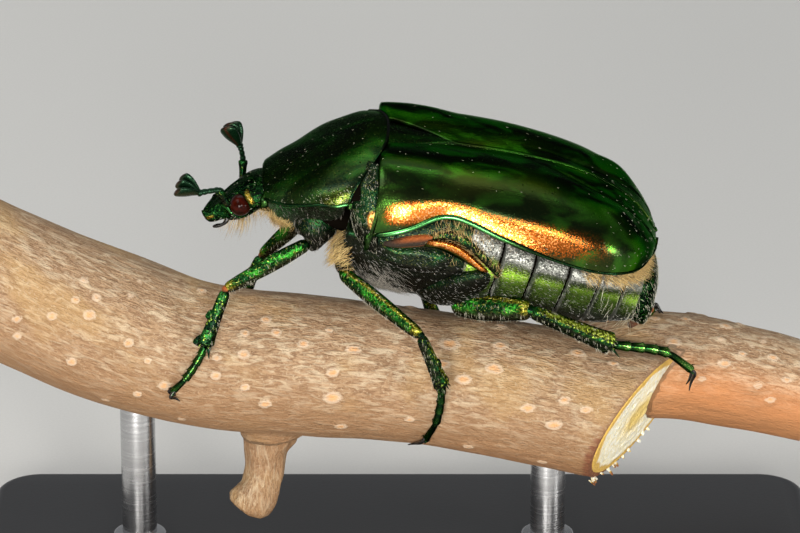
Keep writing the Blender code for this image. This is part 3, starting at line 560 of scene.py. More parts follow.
@dataclass(frozen=True)
class Bark(Finish):
    """Smooth grey-brown bark with wavy fibres, pale pores, a ruddy flush on its fork and painted shade on its
    underside.
    """

    dark: Colour = (0.24, 0.135, 0.07)
    middle: Colour = (0.43, 0.278, 0.158)
    pale: Colour = (0.61, 0.48, 0.325)
    ochre: Colour = (0.5, 0.31, 0.12)
    ruddy: Colour = (0.76, 0.28, 0.09)
    shaded: Colour = (0.3, 0.155, 0.068)
    pore: Colour = (0.72, 0.37, 0.15)
    pore_rim: Colour = (0.7, 0.54, 0.39)
    cut_band: Colour = (0.2, 0.06, 0.026)

    def paint(self, graph: Graph) -> None:
        """Adds the finish's nodes."""
        lane = graph.lanes(GRAIN)
        fibre = graph.noise(graph.scaled(lane, (0.24, 1.0, 1.0)), 0.09, detail=4.0, distortion=1.2)
        streak = graph.noise(graph.scaled(lane, (0.3, 1.0, 1.0)), 0.26, detail=3.0, distortion=1.0)
        blotch = graph.noise(lane, 3.2, detail=3.0)
        speck = graph.noise(lane, 0.11, detail=3.0)
        colour = graph.mix(fibre.band(0.36, 0.62), self.dark, self.middle)
        colour = graph.mix(streak.band(0.46, 0.68) * 0.8, colour, self.pale)
        colour = graph.mix(blotch.band(0.5, 0.68) * 0.45, colour, self.ochre)
        colour = graph.mix(speck.band(0.56, 0.72) * 0.55, colour, self.pale)
        colour = graph.mix((1.0 - speck.band(0.28, 0.42)) * 0.5, colour, self.dark)
        colour = graph.mix(graph.field("flush") * (0.7 + blotch * 0.7), colour, self.ruddy)
        # Painted shade where the bark faces down.
        colour = graph.mix(graph.field(SHADE_BELOW).band(0.22, 0.8) * 0.72, colour, self.shaded)
        # A darker red-brown band on the bark along the sawn face.
        cut_band = graph.field("cut_band")
        colour = graph.mix((cut_band * (streak * 2.4 - 0.3)).band(0.4, 0.95) * 0.85, colour, self.cut_band)
        pore = graph.field(TINT)
        ragged = pore + (speck - 0.5) * 0.5
        colour = graph.mix(ragged.band(0.25, 0.5) * 0.65, colour, self.pore_rim)
        colour = graph.mix(ragged.band(0.5, 0.95) * 0.9, colour, self.pore)
        height = fibre * 0.8 + streak * 0.6 + speck * 0.35
        graph.dress({"Base Color": colour, "Roughness": 0.62 + speck * 0.25, "Specular IOR Level": 0.35,
                     "Normal": graph.relief(height, 0.11)})


@dataclass(frozen=True)
class CutWood(Finish):
    """Fresh sawn wood: cream fibres round an ochre pith, with a yellow ring under the bark."""

    radius: float
    cream: Colour = (0.94, 0.84, 0.54)
    white: Colour = (1.0, 0.98, 0.86)
    pith: Colour = (0.79, 0.55, 0.11)
    ring: Colour = (0.7, 0.41, 0.045)
    skin: Colour = (0.28, 0.09, 0.035)

    def paint(self, graph: Graph) -> None:
        """Adds the finish's nodes."""
        lane = graph.scaled(graph.lanes(GRAIN), (0.0, 1.0, 1.0))
        out = graph.node("ShaderNodeVectorMath", {"operation": "LENGTH"}, {0: lane}, output="Value")
        share = out / (self.radius * MM)
        wander = graph.noise(graph.place(), 0.7, detail=3.0)
        share = share + (wander - 0.5) * 0.16
        fibre = graph.noise(graph.scaled(graph.place(), (1.0, 1.0, 0.3)), 0.1, detail=4.0)
        colour = graph.mix(fibre.band(0.4, 0.62), self.cream, self.white)
        colour = graph.mix((1.0 - share.band(0.14, 0.48)) * 0.85, colour, self.pith)
        colour = graph.mix(share.band(0.8, 0.86) * 0.9, colour, self.ring)
        colour = graph.mix(share.band(0.97, 1.01) * 0.9, colour, self.skin)
        rings = (share * 34.0).wave()
        graph.dress({"Base Color": colour, "Roughness": 0.75 + fibre * 0.15, "Specular IOR Level": 0.3,
                     "Normal": graph.relief(fibre + rings * 0.15, 0.14)})


@dataclass(frozen=True)
class Painted(Finish):
    """Plain satin paint or brushed steel, with a fine grain along one axis."""

    base: Colour
    roughness: float
    metal: float
    stretch: Triple
    depth: float = 0.004
    fade: float = 0.82

    def paint(self, graph: Graph) -> None:
        """Adds the finish's nodes."""
        grain = graph.noise(graph.scaled(graph.place(), self.stretch), 0.12, detail=3.0)
        colour = graph.mix(grain.band(0.3, 0.7), tuple(value * self.fade for value in self.base), self.base)
        graph.dress({"Base Color": colour, "Roughness": self.roughness + grain * 0.12,
                     "Metallic": self.metal, "Normal": graph.relief(grain, self.depth)})


# In these finishes flush is the tinted colour, which most pieces use for a painted highlight and sheen (the copper band
# on the wing cases is a painted copper sheen), and lower is the colour of painted shade on surfaces that face down.
ELYTRA = Cuticle("elytra_green", deep=(0.017, 0.034, 0.011), glow=(0.05, 0.19, 0.02), flush=(0.88, 0.25, 0.035),
                 drift=(0.06, 0.074, 0.014), patch=1.1, roughness=0.18, pit_spacing=0.4, pit_width=0.12,
                 pit_depth=0.006, grit=1.4, grit_size=0.07, coat=0.02, sparkle=0.1, spark=(0.3, 0.26, 0.06),
                 edge=(0.06, 0.3, 0.03), ragged=1.7)
PRONOTUM = Cuticle("pronotum_green", deep=(0.014, 0.03, 0.016), glow=(0.038, 0.13, 0.024),
                   flush=(0.13, 0.24, 0.026), drift=(0.026, 0.052, 0.01), patch=1.1, roughness=0.2,
                   pit_spacing=0.22, pit_width=0.26, pit_depth=0.012, grit=0.8, coat=0.03,
                   edge=(0.06, 0.24, 0.04), ragged=0.8)
BEAD = Cuticle("margin_green", deep=(0.003, 0.02, 0.006), glow=(0.008, 0.06, 0.014), flush=(0.11, 0.42, 0.12),
               drift=(0.008, 0.05, 0.026), patch=1.2, roughness=0.16, pit_spacing=0.3, pit_width=0.1, pit_depth=0.004,
               grit=0.3, tint_glint=(0.11, 0.42, 0.12))
FACE = Cuticle("head_green", deep=(0.002, 0.006, 0.003), glow=(0.007, 0.05, 0.011), flush=(0.8, 0.56, 0.06),
               drift=(0.004, 0.018, 0.01), patch=0.45, roughness=0.26, pit_spacing=0.15, pit_width=0.5,
               pit_depth=0.05, grit=1.0, grit_size=0.07, coat=0.03, sparkle=0.6, spark=(0.16, 0.52, 0.09),
               ragged=0.8)
THROAT = Cuticle("throat_green", deep=(0.016, 0.016, 0.012), glow=(0.018, 0.05, 0.02), flush=(0.07, 0.46, 0.11),
                 drift=(0.034, 0.03, 0.023), patch=0.4, roughness=0.32, metal=0.8, pit_spacing=0.13, pit_width=0.46,
                 pit_depth=0.035, grit=1.0, grit_size=0.07, coat=0.02, sparkle=0.6, spark=(0.16, 0.42, 0.14),
                 ragged=2.4, tint_glint=(0.16, 0.64, 0.2))
LEG = Cuticle("leg_green", deep=(0.004, 0.03, 0.006), glow=(0.04, 0.3, 0.026), flush=(0.56, 0.58, 0.06),
              drift=(0.01, 0.07, 0.016), patch=0.45, roughness=0.25, pit_spacing=0.14, pit_width=0.48,
              pit_depth=0.045, grit=1.0, grit_size=0.08, coat=0.03, sparkle=0.7, lower=(0.05, 0.04, 0.026),
              ragged=1.6)
SHIN = Cuticle("shin_green", deep=(0.004, 0.016, 0.008), glow=(0.02, 0.13, 0.024), flush=(0.48, 0.64, 0.06),
               drift=(0.01, 0.036, 0.018), patch=0.4, roughness=0.28, pit_spacing=0.12, pit_width=0.45,
               pit_depth=0.04, grit=1.2, grit_size=0.1, coat=0.03, sparkle=0.9, spark=(0.42, 0.62, 0.08),
               lower=(0.026, 0.024, 0.016), ragged=2.6)
FOOT = Cuticle("foot_green", deep=(0.003, 0.02, 0.006), glow=(0.008, 0.08, 0.014), flush=(0.05, 0.34, 0.04),
               drift=(0.006, 0.03, 0.012), patch=0.5, roughness=0.16, pit_spacing=0.2, pit_width=0.2,
               pit_depth=0.01, grit=0.4)
BELLY = Cuticle("belly_green", deep=(0.006, 0.016, 0.01), glow=(0.014, 0.07, 0.02), flush=(0.96, 0.48, 0.1),
                drift=(0.018, 0.024, 0.016), patch=0.6, roughness=0.32, metal=0.9, pit_spacing=0.12, pit_width=0.42,
                pit_depth=0.025, grit=0.8, grit_size=0.06, coat=0.02, sparkle=0.4, lower=(0.022, 0.02, 0.016))
STERNITE = Cuticle("sternite_green", deep=(0.2, 0.205, 0.185), glow=(0.44, 0.445, 0.405),
                   flush=(0.48, 0.9, 0.07), drift=(0.08, 0.1, 0.08), patch=0.25, roughness=0.34, metal=0.8,
                   pit_spacing=0.1, pit_width=0.46, pit_depth=0.03, grit=1.2, grit_size=0.075, coat=0.0, sparkle=0.9,
                   spark=(0.82, 0.82, 0.74), lower=(0.006, 0.016, 0.007), shade_below_band=(0.6, 0.8), ragged=1.8,
                   tint_glint=(0.9, 0.94, 0.26))
EYE = Lens("eye_red")
FEELER = Horn("feeler_brown", base=(0.007, 0.034, 0.013), tip=(0.095, 0.014, 0.007), roughness=0.2, metal=0.75,
              coat=0.1, gloss=0.3)
JOINT = Horn("joint_brown", base=(0.004, 0.003, 0.002), tip=(0.15, 0.045, 0.016), roughness=0.8, metal=0.0, coat=0.0,
             gloss=0.0)
FOLD = Horn("fold_russet", base=(0.04, 0.028, 0.02), tip=(0.42, 0.11, 0.026), roughness=0.5, metal=0.0, coat=0.0,
            wrinkle=0.09, gloss=0.12)
CLAW = Horn("claw_black", base=(0.01, 0.008, 0.006), tip=(0.06, 0.018, 0.008), roughness=0.22)
GREY_HAIR = Bristle("hair_grey", dark=(0.24, 0.23, 0.21), pale=(0.76, 0.74, 0.68))
DUN_HAIR = Bristle("hair_dun", dark=(0.13, 0.115, 0.095), pale=(0.48, 0.44, 0.37))
TAN_HAIR = Bristle("hair_tan", dark=(0.38, 0.21, 0.055), pale=(0.93, 0.7, 0.3))
PALE_HAIR = Bristle("hair_pale", dark=(0.42, 0.4, 0.26), pale=(0.92, 0.88, 0.72))
BARK = Bark("bark_brown")
STUB_WOOD = CutWood("sawn_wood_stub", radius=3.05)
SPLINTER_WOOD = CutWood("sawn_wood_splinters", radius=4.3)
END_WOOD = CutWood("sawn_wood_end", radius=3.1)
FORK_WOOD = CutWood("sawn_wood_fork", radius=2.2)
BLACK = Painted("stand_satin_black", base=(0.022, 0.022, 0.024), roughness=0.3, metal=0.0, stretch=(1.0, 1.0, 1.0))
STEEL = Painted("rod_brushed_steel", base=(0.56, 0.56, 0.57), roughness=0.2, metal=1.0, stretch=(0.05, 0.05, 1.0))


class Workshop:
    """Files finished meshes as pieces of the model and dresses them."""

    def add(self, name: str, mesh: BMesh, finish: Finish, slot: Slot, nodes: Sequence[str] = (),
            axes: Matrix = WORLD, wall: float = 0.0) -> Object:
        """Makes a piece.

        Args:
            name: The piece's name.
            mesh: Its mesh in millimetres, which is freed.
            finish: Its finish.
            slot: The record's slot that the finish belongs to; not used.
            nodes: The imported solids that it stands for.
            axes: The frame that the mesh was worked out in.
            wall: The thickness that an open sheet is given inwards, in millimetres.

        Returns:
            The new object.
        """
        bmesh.ops.transform(mesh, matrix=Matrix.Scale(MM, 4) @ axes, verts=mesh.verts)
        data = bpy.data.meshes.new(name)
        mesh.to_mesh(data)
        mesh.free()
        data.shade_smooth()
        # How far each point faces down, which the finishes read for painted shade below.
        facing = np.empty(len(data.vertices) * 3)
        data.vertex_normals.foreach_get("vector", facing)
        under = np.ascontiguousarray(0.5 - 0.5 * facing[2::3])
        data.attributes.new(SHADE_BELOW, "FLOAT", "POINT").data.foreach_set("value", under)
        return self.file(name, data, finish, nodes, wall)

    def file(self, name: str, data: Mesh, finish: Finish, nodes: Sequence[str] = (),
             wall: float = 0.0) -> Object:
        """Makes a piece of finished mesh data."""
        made = bpy.data.objects.new(name, data)
        bpy.context.scene.collection.objects.link(made)
        data.materials.append(finish.material())
        if wall:
            shell = made.modifiers.new("wall", "SOLIDIFY")
            shell.thickness = wall * MM
            shell.offset = -1.0
        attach(made, "root")
        if nodes:
            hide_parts(*nodes)
        LOG.info("%s: %d faces", name, len(data.polygons))
        return made


SUTURE = Track(((-0.1, -0.12), (2.9, 0.1), (5.6, 0.3), (8.2, 0.24), (10.0, -0.2), (11.0, -0.7), (11.7, -1.3),
                (12.02, -1.68)))


@dataclass(frozen=True)
class Scutellum:
    """The small triangular shield between the roots of the wing cases."""

    length: float = 2.85
    half: float = 1.5
    crown: float = 0.12

    def half_width(self, u: Array) -> Array:
        """Half its width at a distance from its base."""
        share = clamp(u / self.length)
        return self.half * (1.0 - share) * (1.0 + 0.25 * share)

    def build(self, shop: Workshop) -> None:
        """Makes the shield with its edges rolled down into the groove round it."""

        def place(across: Array, along: Array) -> Array:
            """Sets the points of the shield."""
            u = lerp(-0.12, self.length + 0.1, along)
            side = (across - 0.5) * 2.0
            v = side * np.maximum(self.half_width(u), 0.02)
            edge = np.minimum((1.0 - np.abs(side)) * self.half_width(u), self.length + 0.1 - u) / 0.16
            drop = 0.16 * (1.0 - clamp(edge)) ** 2
            w = SUTURE.value(u) + self.crown * (1.0 - (v / 1.6) ** 2) - drop
            return np.column_stack([u, v, w])

        mesh = outwards(sheet(30, 40, place), (1.0, 0.0, -5.0))
        shop.add("scutellum_plate", mesh, PRONOTUM, Slot.SHELL, ["scutellum"], BODY, wall=0.2)


@dataclass(frozen=True)
class WingCase:
    """One elytron: its arched face, the edges turned in under it and the green bead along its margin."""

    side: Side
    shield: Scutellum
    tip: float = 12.02
    half: float = 5.05
    round_from: float = 8.4
    round_power: float = 2.5
    section_power: float = 3.4
    margin: Track = Track(((-0.1, -2.95), (0.3, -2.76), (1.4, -2.11), (2.4, -1.45), (3.3, -1.25), (5.4, -1.64),
                           (8.4, -2.12), (11.2, -2.1), (12.02, -1.75)))
    shoulder: Track = Track(((-0.1, 4.8), (0.4, 4.98), (1.2, 5.12), (2.8, 4.9), (5.0, 5.02), (8.4, 5.05)))
    # Where the painted copper sheen lies: its distance above the margin, its width and its strength along the wing
    # case.
    copper_sheen_line: Track = Track(((-0.1, 0.95), (0.8, 0.88), (1.6, 0.6), (2.8, 0.2), (4.0, 0.14), (5.0, 0.26),
                                (6.7, 0.62), (8.6, 0.92), (10.5, 1.0)))
    copper_sheen_width: Track = Track(((-0.1, 0.5), (1.2, 0.66), (2.8, 0.56), (5.0, 0.7), (6.7, 0.82), (8.6, 0.9)))
    copper_sheen_share: Track = Track(((-0.1, 0.0), (0.2, 0.0), (0.6, 0.8), (5.6, 0.8), (6.8, 0.6), (8.0, 0.36),
                                 (9.4, 0.14), (10.4, 0.0)))

    def half_width(self, u: Array) -> Array:
        """The plan outline: the shoulder stations, then a superellipse round the tip."""
        share = clamp((u - self.round_from) / (self.tip - self.round_from))
        rounded = self.half * np.maximum(1.0 - share ** self.round_power, 0.0) ** (1.0 / self.round_power)
        return np.where(u <= self.round_from, self.shoulder.value(u), rounded)

    def face(self, u: Array, share: Array) -> Array:
        """The outer face from its inner edge, at share 0, round to its margin, at share 1."""
        inner = np.maximum(0.015, self.shield.half_width(u) + 0.03)
        outer = np.maximum(self.half_width(u), inner + 0.12)
        side, height = superellipse(share * math.pi / 2, self.section_power)
        v = inner + (outer - inner) * side
        rise = 0.34 * np.sin(math.pi * np.minimum(v / self.half, 1.0)) * bump(u - 3.4, 7.4)
        trough = 0.16 * bump(v - 1.1, 1.0) * bump(u - 8.8, 2.6)
        rib = lerp(0.75, 1.5, ease(u, 5.0, 11.4))
        groove = 0.07 * bump(v - rib, 0.22) * ease(u, 5.5, 8.0)
        bead = 0.05 * bump(v - inner - 0.06, 0.12) * ease(u, 2.4, 3.4)
        shoulder = 0.14 * bump(np.hypot(u - 1.2, v - 3.5), 1.9)
        callus = 0.16 * bump(np.hypot(u - 10.0, v - 2.9), 1.2)
        front = -0.34 * bump(v - 3.4, 1.9) * bump(u, 1.5)
        w = lerp(self.margin.value(u), SUTURE.value(u), height) + rise - trough - groove + bead + shoulder + callus
        lip = clamp(1.0 - (w - self.margin.value(u)) / 0.7) ** 2
        flare = 0.16 * lip * ease(u, 2.2, 3.6) * (1.0 - ease(u, 5.8, 9.0))
        return np.column_stack([u + front, v + flare, w])

    def margin_line(self) -> Array:
        """Points along the margin of the right wing case."""
        stations = np.concatenate([np.linspace(0.1, 9.0, 24), self.tip - np.geomspace(2.8, 0.02, 14)])
        return self.face(stations, np.ones(38))

    def build(self, shop: Workshop) -> None:
        """Makes the wing case and its bead."""
        sign = self.side.value

        def station(along: Array) -> Array:
            """The distance from the front edge at a share along, closer together towards the tip."""
            share = clamp((along - 0.05) / 0.95)
            return lerp(-0.05, self.tip - 0.015, np.sin(share * math.pi / 2) ** 0.85)

        def place(across: Array, along: Array) -> Array:
            """Sets the points, with the front, the suture and the margin turned in."""
            points = self.face(station(along), clamp((across - 0.03) / 0.9))
            front = clamp(1.0 - along / 0.05)
            suture = clamp(1.0 - across / 0.03)
            under = clamp((across - 0.93) / 0.07)
            points[:, 0] += 0.14 * np.sin(front * math.pi / 2) * -1.0 + 0.2 * front ** 2
            points[:, 2] -= 0.6 * front ** 1.5 + 0.16 * suture ** 2 + 0.16 * np.sin(under * math.pi)
            points[:, 1] -= 0.5 * under * np.minimum(points[:, 1], 1.0)
            return points * (1.0, sign, 1.0)

        def paint(across: Array, along: Array) -> Array:
            """The copper band along the lower flank: the cuticle's copper iridescence, painted fixed in place as a
            copper sheen.
            """
            u = station(along)
            points = self.face(u, clamp((across - 0.03) / 0.9))
            reach = np.hypot(points[:, 1] - self.half_width(u), points[:, 2] - self.margin.value(u))
            band = bump(reach - self.copper_sheen_line.value(u), self.copper_sheen_width.value(u))
            return band ** 0.8 * clamp(self.copper_sheen_share.value(u))

        mesh = outwards(sheet(96, 130, place, paint=paint), (6.0, sign * 2.0, -2.5))
        name = f"elytron_{self.side.word}"
        shop.add(f"{name}_case", mesh, ELYTRA, Slot.SHELL, [name], BODY, wall=0.14)
        margin = self.margin_line() * (1.0, sign, 1.0)
        girth = 0.115 - 0.06 * ease(margin[:, 0], 5.6, 8.0) - 0.05 * ease(margin[:, 0], 11.0, 11.9)
        rim = Track.through([(*point, size, size * 1.1) for point, size in zip(margin, girth)])
        # The bead carries a painted highlight: bright green over its front part, fading dark towards the tail.
        tinted = limb(rim, (0.0, 1.0, 0.05), columns=12, rows=150, rounding=0.02,
                      paint=lambda turn, along: 0.95 * (1.0 - ease(along, 0.3, 0.52)) * ease(along, 0.0, 0.12))
        shop.add(f"{name}_bead", tinted, BEAD, Slot.SHELL, axes=BODY)


@dataclass(frozen=True)
class Trunk:
    """The body under the wing cases: roof, shoulder, side, fold and belly of its section at each station."""

    roof: Track = Track(((-0.75, -2.75), (0.4, -1.3), (1.6, -1.1), (3.0, -0.95), (5.0, -0.75), (7.0, -0.65),
                         (9.4, -0.95), (10.8, -1.65), (11.9, -2.5)))
    shoulder: Track = Track(((-0.75, 2.7, -3.0), (0.4, 3.6, -2.2), (1.6, 3.95, -1.95), (3.0, 3.95, -1.25),
                             (5.0, 4.05, -1.55), (7.0, 4.05, -1.9), (9.4, 3.85, -2.15), (10.8, 3.1, -2.4),
                             (11.9, 2.0, -2.75)))
    flank: Track = Track(((-0.75, 3.6, -3.4), (0.4, 4.25, -3.2), (1.6, 4.45, -2.7), (3.0, 4.55, -2.0),
                          (5.0, 4.7, -2.3), (7.0, 4.7, -2.55), (9.4, 4.45, -2.75), (10.8, 3.75, -2.9),
                          (11.9, 2.7, -3.1)))
    fold: Track = Track(((-0.75, 3.2, -4.4), (0.4, 3.7, -4.7), (1.6, 4.1, -4.4), (3.0, 4.3, -4.1), (5.0, 4.3, -3.9),
                         (7.0, 4.15, -3.85), (9.4, 3.85, -3.9), (10.8, 3.3, -4.05), (11.9, 2.4, -4.4)))
    belly: Track = Track(((-0.75, -5.75), (0.4, -6.45), (1.6, -6.6), (3.0, -6.55), (5.0, -6.5), (7.0, -6.5),
                          (9.4, -6.1), (10.8, -5.85), (11.9, -5.5)))

    def ring(self, u: Array, turn: Array, out: Array | float = 0.0) -> Array:
        """Points of the section, from the roof (turn 0) over the right side to the belly (turn 0.5) and round.

        Args:
            u: Stations along the body.
            turn: Shares round the section.
            out: How far outside the section the points lie, in millimetres.

        Returns:
            The points.
        """
        roof, belly = self.roof.value(u), self.belly.value(u)
        (shoulder_v, shoulder_w), (flank_v, flank_w), (fold_v, fold_w) = (
            track.at(u).T for track in (self.shoulder, self.flank, self.fold))
        zero = np.zeros_like(roof)
        half = [(zero, roof), (0.55 * shoulder_v, lerp(roof, shoulder_w, 0.25)), (shoulder_v, shoulder_w),
                (flank_v, flank_w), (lerp(flank_v, fold_v, 0.5) + 0.08, lerp(flank_w, fold_w, 0.5)),
                (fold_v, fold_w), (0.72 * fold_v, lerp(fold_w, belly, 0.55)),
                (0.36 * fold_v, lerp(fold_w, belly, 0.9)), (zero, belly)]
        cage = np.array(half + [(-v, w) for v, w in reversed(half[1:-1])])
        total = len(cage)
        spot = np.mod(turn, 1.0) * total
        index = np.floor(spot).astype(int)
        share = (spot - index)[:, None]
        rows = np.arange(len(spot))
        before, start, end, after = (cage[(index + step) % total, :, rows] for step in (-1, 0, 1, 2))
        curve = 0.5 * (2.0 * start + (end - before) * share
                       + (2.0 * before - 5.0 * start + 4.0 * end - after) * share ** 2
                       + (3.0 * start - before - 3.0 * end + after) * share ** 3)
        core = np.column_stack([zero, 0.5 * (roof + belly)])
        curve = curve + unit(curve - core) * np.reshape(out, (-1, 1))
        return np.column_stack([u, curve])

    def hoop(self, span: tuple[float, float], lift: Track, rows: int, tint: Paint | None = None) -> BMesh:
        """A closed length of the body whose surface stands out by a lift that changes along it."""

        def place(turn: Array, share: Array) -> Array:
            """Sets the points, drawn in to the axis at both ends."""
            along = clamp((share - 0.04) / 0.92)
            points = self.ring(lerp(span[0], span[1], along), turn, lift.value(along))
            shut = clamp(1.0 - np.minimum(share, 1.0 - share) / 0.04)
            core = np.column_stack([points[:, 0], np.zeros(len(points)), np.full(len(points), -3.4)])
            return lerp(points, core, shut[:, None])

        return sheet(120, rows, place, closed=True, paint=tint)

    def seat(self, u: Array, w: Array, out: Array | float) -> Array:
        """Points on the right flank at given stations and heights.

        Args:
            u: Stations along the body.
            w: Heights in the body frame.
            out: How far outside the section the points lie.

        Returns:
            The points.
        """
        turns = np.linspace(0.1, 0.45, 36)
        heights = np.stack([self.ring(u, np.full_like(u, turn))[:, 2] for turn in turns], axis=1)
        found = np.array([np.interp(-height, -row, turns) for height, row in zip(w, heights)])
        return self.ring(u, found, out)

    def panel(self, side: Side, upper: Track, lower: Track, out: float, columns: int, rows: int,
              paint: Paint | None = None) -> BMesh:
        """A raised plate on one flank between two lines of (u, w), with its edges rolled in."""

        def place(across: Array, along: Array) -> Array:
            """Sets the points of the plate."""
            line = lerp(lower.at(along), upper.at(along), across[:, None])
            inset = np.minimum(3.0 * np.minimum(across, 1.0 - across), 5.0 * np.minimum(along, 1.0 - along))
            lift = out * np.sqrt(ease(inset, 0.0, 1.0)) - 0.08
            return self.seat(line[:, 0], line[:, 1], lift) * (1.0, side.value, 1.0)

        return outwards(sheet(columns, rows, place, paint=paint), (2.5, 0.0, -3.4))


@dataclass(frozen=True)
class Pronotum:
    """The domed shield behind the head, from its hind edge forwards, and its rim."""

    middle: Track = Track.through([(-0.13, 0.2), (-0.95, 0.0), (-1.75, -0.48), (-2.4, -1.02), (-3.25, -1.72),
                                   (-4.05, -2.34), (-4.85, -3.0)])
    edge: Track = Track.through([(-1.28, 4.35, -1.95), (-1.8, 4.33, -2.2), (-2.5, 4.05, -2.42), (-3.15, 3.6, -2.78),
                                 (-3.7, 3.1, -3.1), (-4.25, 2.6, -3.28), (-4.6, 2.2, -3.4)])
    section_power: float = 2.2

    def face(self, turn: Array, along: Array) -> Array:
        """The dome from the left margin, at turn -1, to the right one, at turn 1."""
        middle, edge = self.middle.at(along), self.edge.at(along)
        side, height = superellipse(turn * math.pi / 2, self.section_power)
        reach = np.abs(side) ** 2.5
        u = lerp(middle[:, 0], edge[:, 0], reach)
        dent = 0.07 * bump(np.hypot(u + 1.9, np.abs(edge[:, 1] * side) - 3.4), 0.9)
        return np.column_stack([u, edge[:, 1] * side, lerp(edge[:, 2], middle[:, 1], height) - dent])

    def build(self, shop: Workshop) -> None:
        """Makes the shield and the rim round it."""

        def place(across: Array, along: Array) -> Array:
            """Sets the points, with every edge turned in."""
            side = (across - 0.5) * 2.0
            points = self.face(np.clip(side / 0.95, -1.0, 1.0), clamp((along - 0.05) / 0.9))
            under = clamp((np.abs(side) - 0.95) / 0.05)
            hind = clamp(1.0 - along / 0.05)
            front = clamp((along - 0.95) / 0.05)
            points[:, 1] -= np.sign(side) * 0.35 * under
            tucked = 0.6 - 0.4 * ease(np.abs(side), 0.75, 0.95)
            points[:, 2] -= 0.1 * np.sin(under * math.pi) + tucked * hind ** 1.4 + 0.35 * front ** 1.4
            points[:, 0] += 0.1 * front
            return points

        def paint(across: Array, along: Array) -> Array:
            """A painted olive-gold highlight at the hind corners, close to the side margins."""
            side = np.abs(across - 0.5) * 2.0
            corner = bump(np.hypot((side - 0.9) * 3.0, (along - 0.18) * 2.8), 0.75)
            return 0.55 * corner * ease(along, 0.04, 0.1) * (1.0 - ease(side, 0.94, 0.98))

        mesh = outwards(sheet(110, 70, place, paint=paint), (-2.0, 0.0, -5.0))
        shop.add("pronotum_shield", mesh, PRONOTUM, Slot.SHELL, ["pronotum"], BODY, wall=0.16)
        margins = []
        for turn in (-1.0, 1.0):
            points = self.face(np.full(30, turn), np.linspace(0.0, 1.0, 30))
            # The side rims carry a painted highlight near the hind corners.
            margins.append(limb(Track.through([(*point, 0.075, 0.085) for point in points]), (0.0, 1.0, 0.1),
                                columns=10, rows=70, rounding=0.02,
                                paint=lambda turn, along: 0.8 * bump(along - 0.12, 0.2)))
        hind = self.face(np.linspace(-1.0, 1.0, 60), np.zeros(60)) + (0.0, 0.0, -0.02)
        margins.append(limb(Track.through([(*point, 0.06, 0.06) for point in hind]), (1.0, 0.0, 0.1), columns=8,
                            rows=120, rounding=0.01))
        shop.add("pronotum_rim", merged(margins), BEAD, Slot.SHELL, axes=BODY)


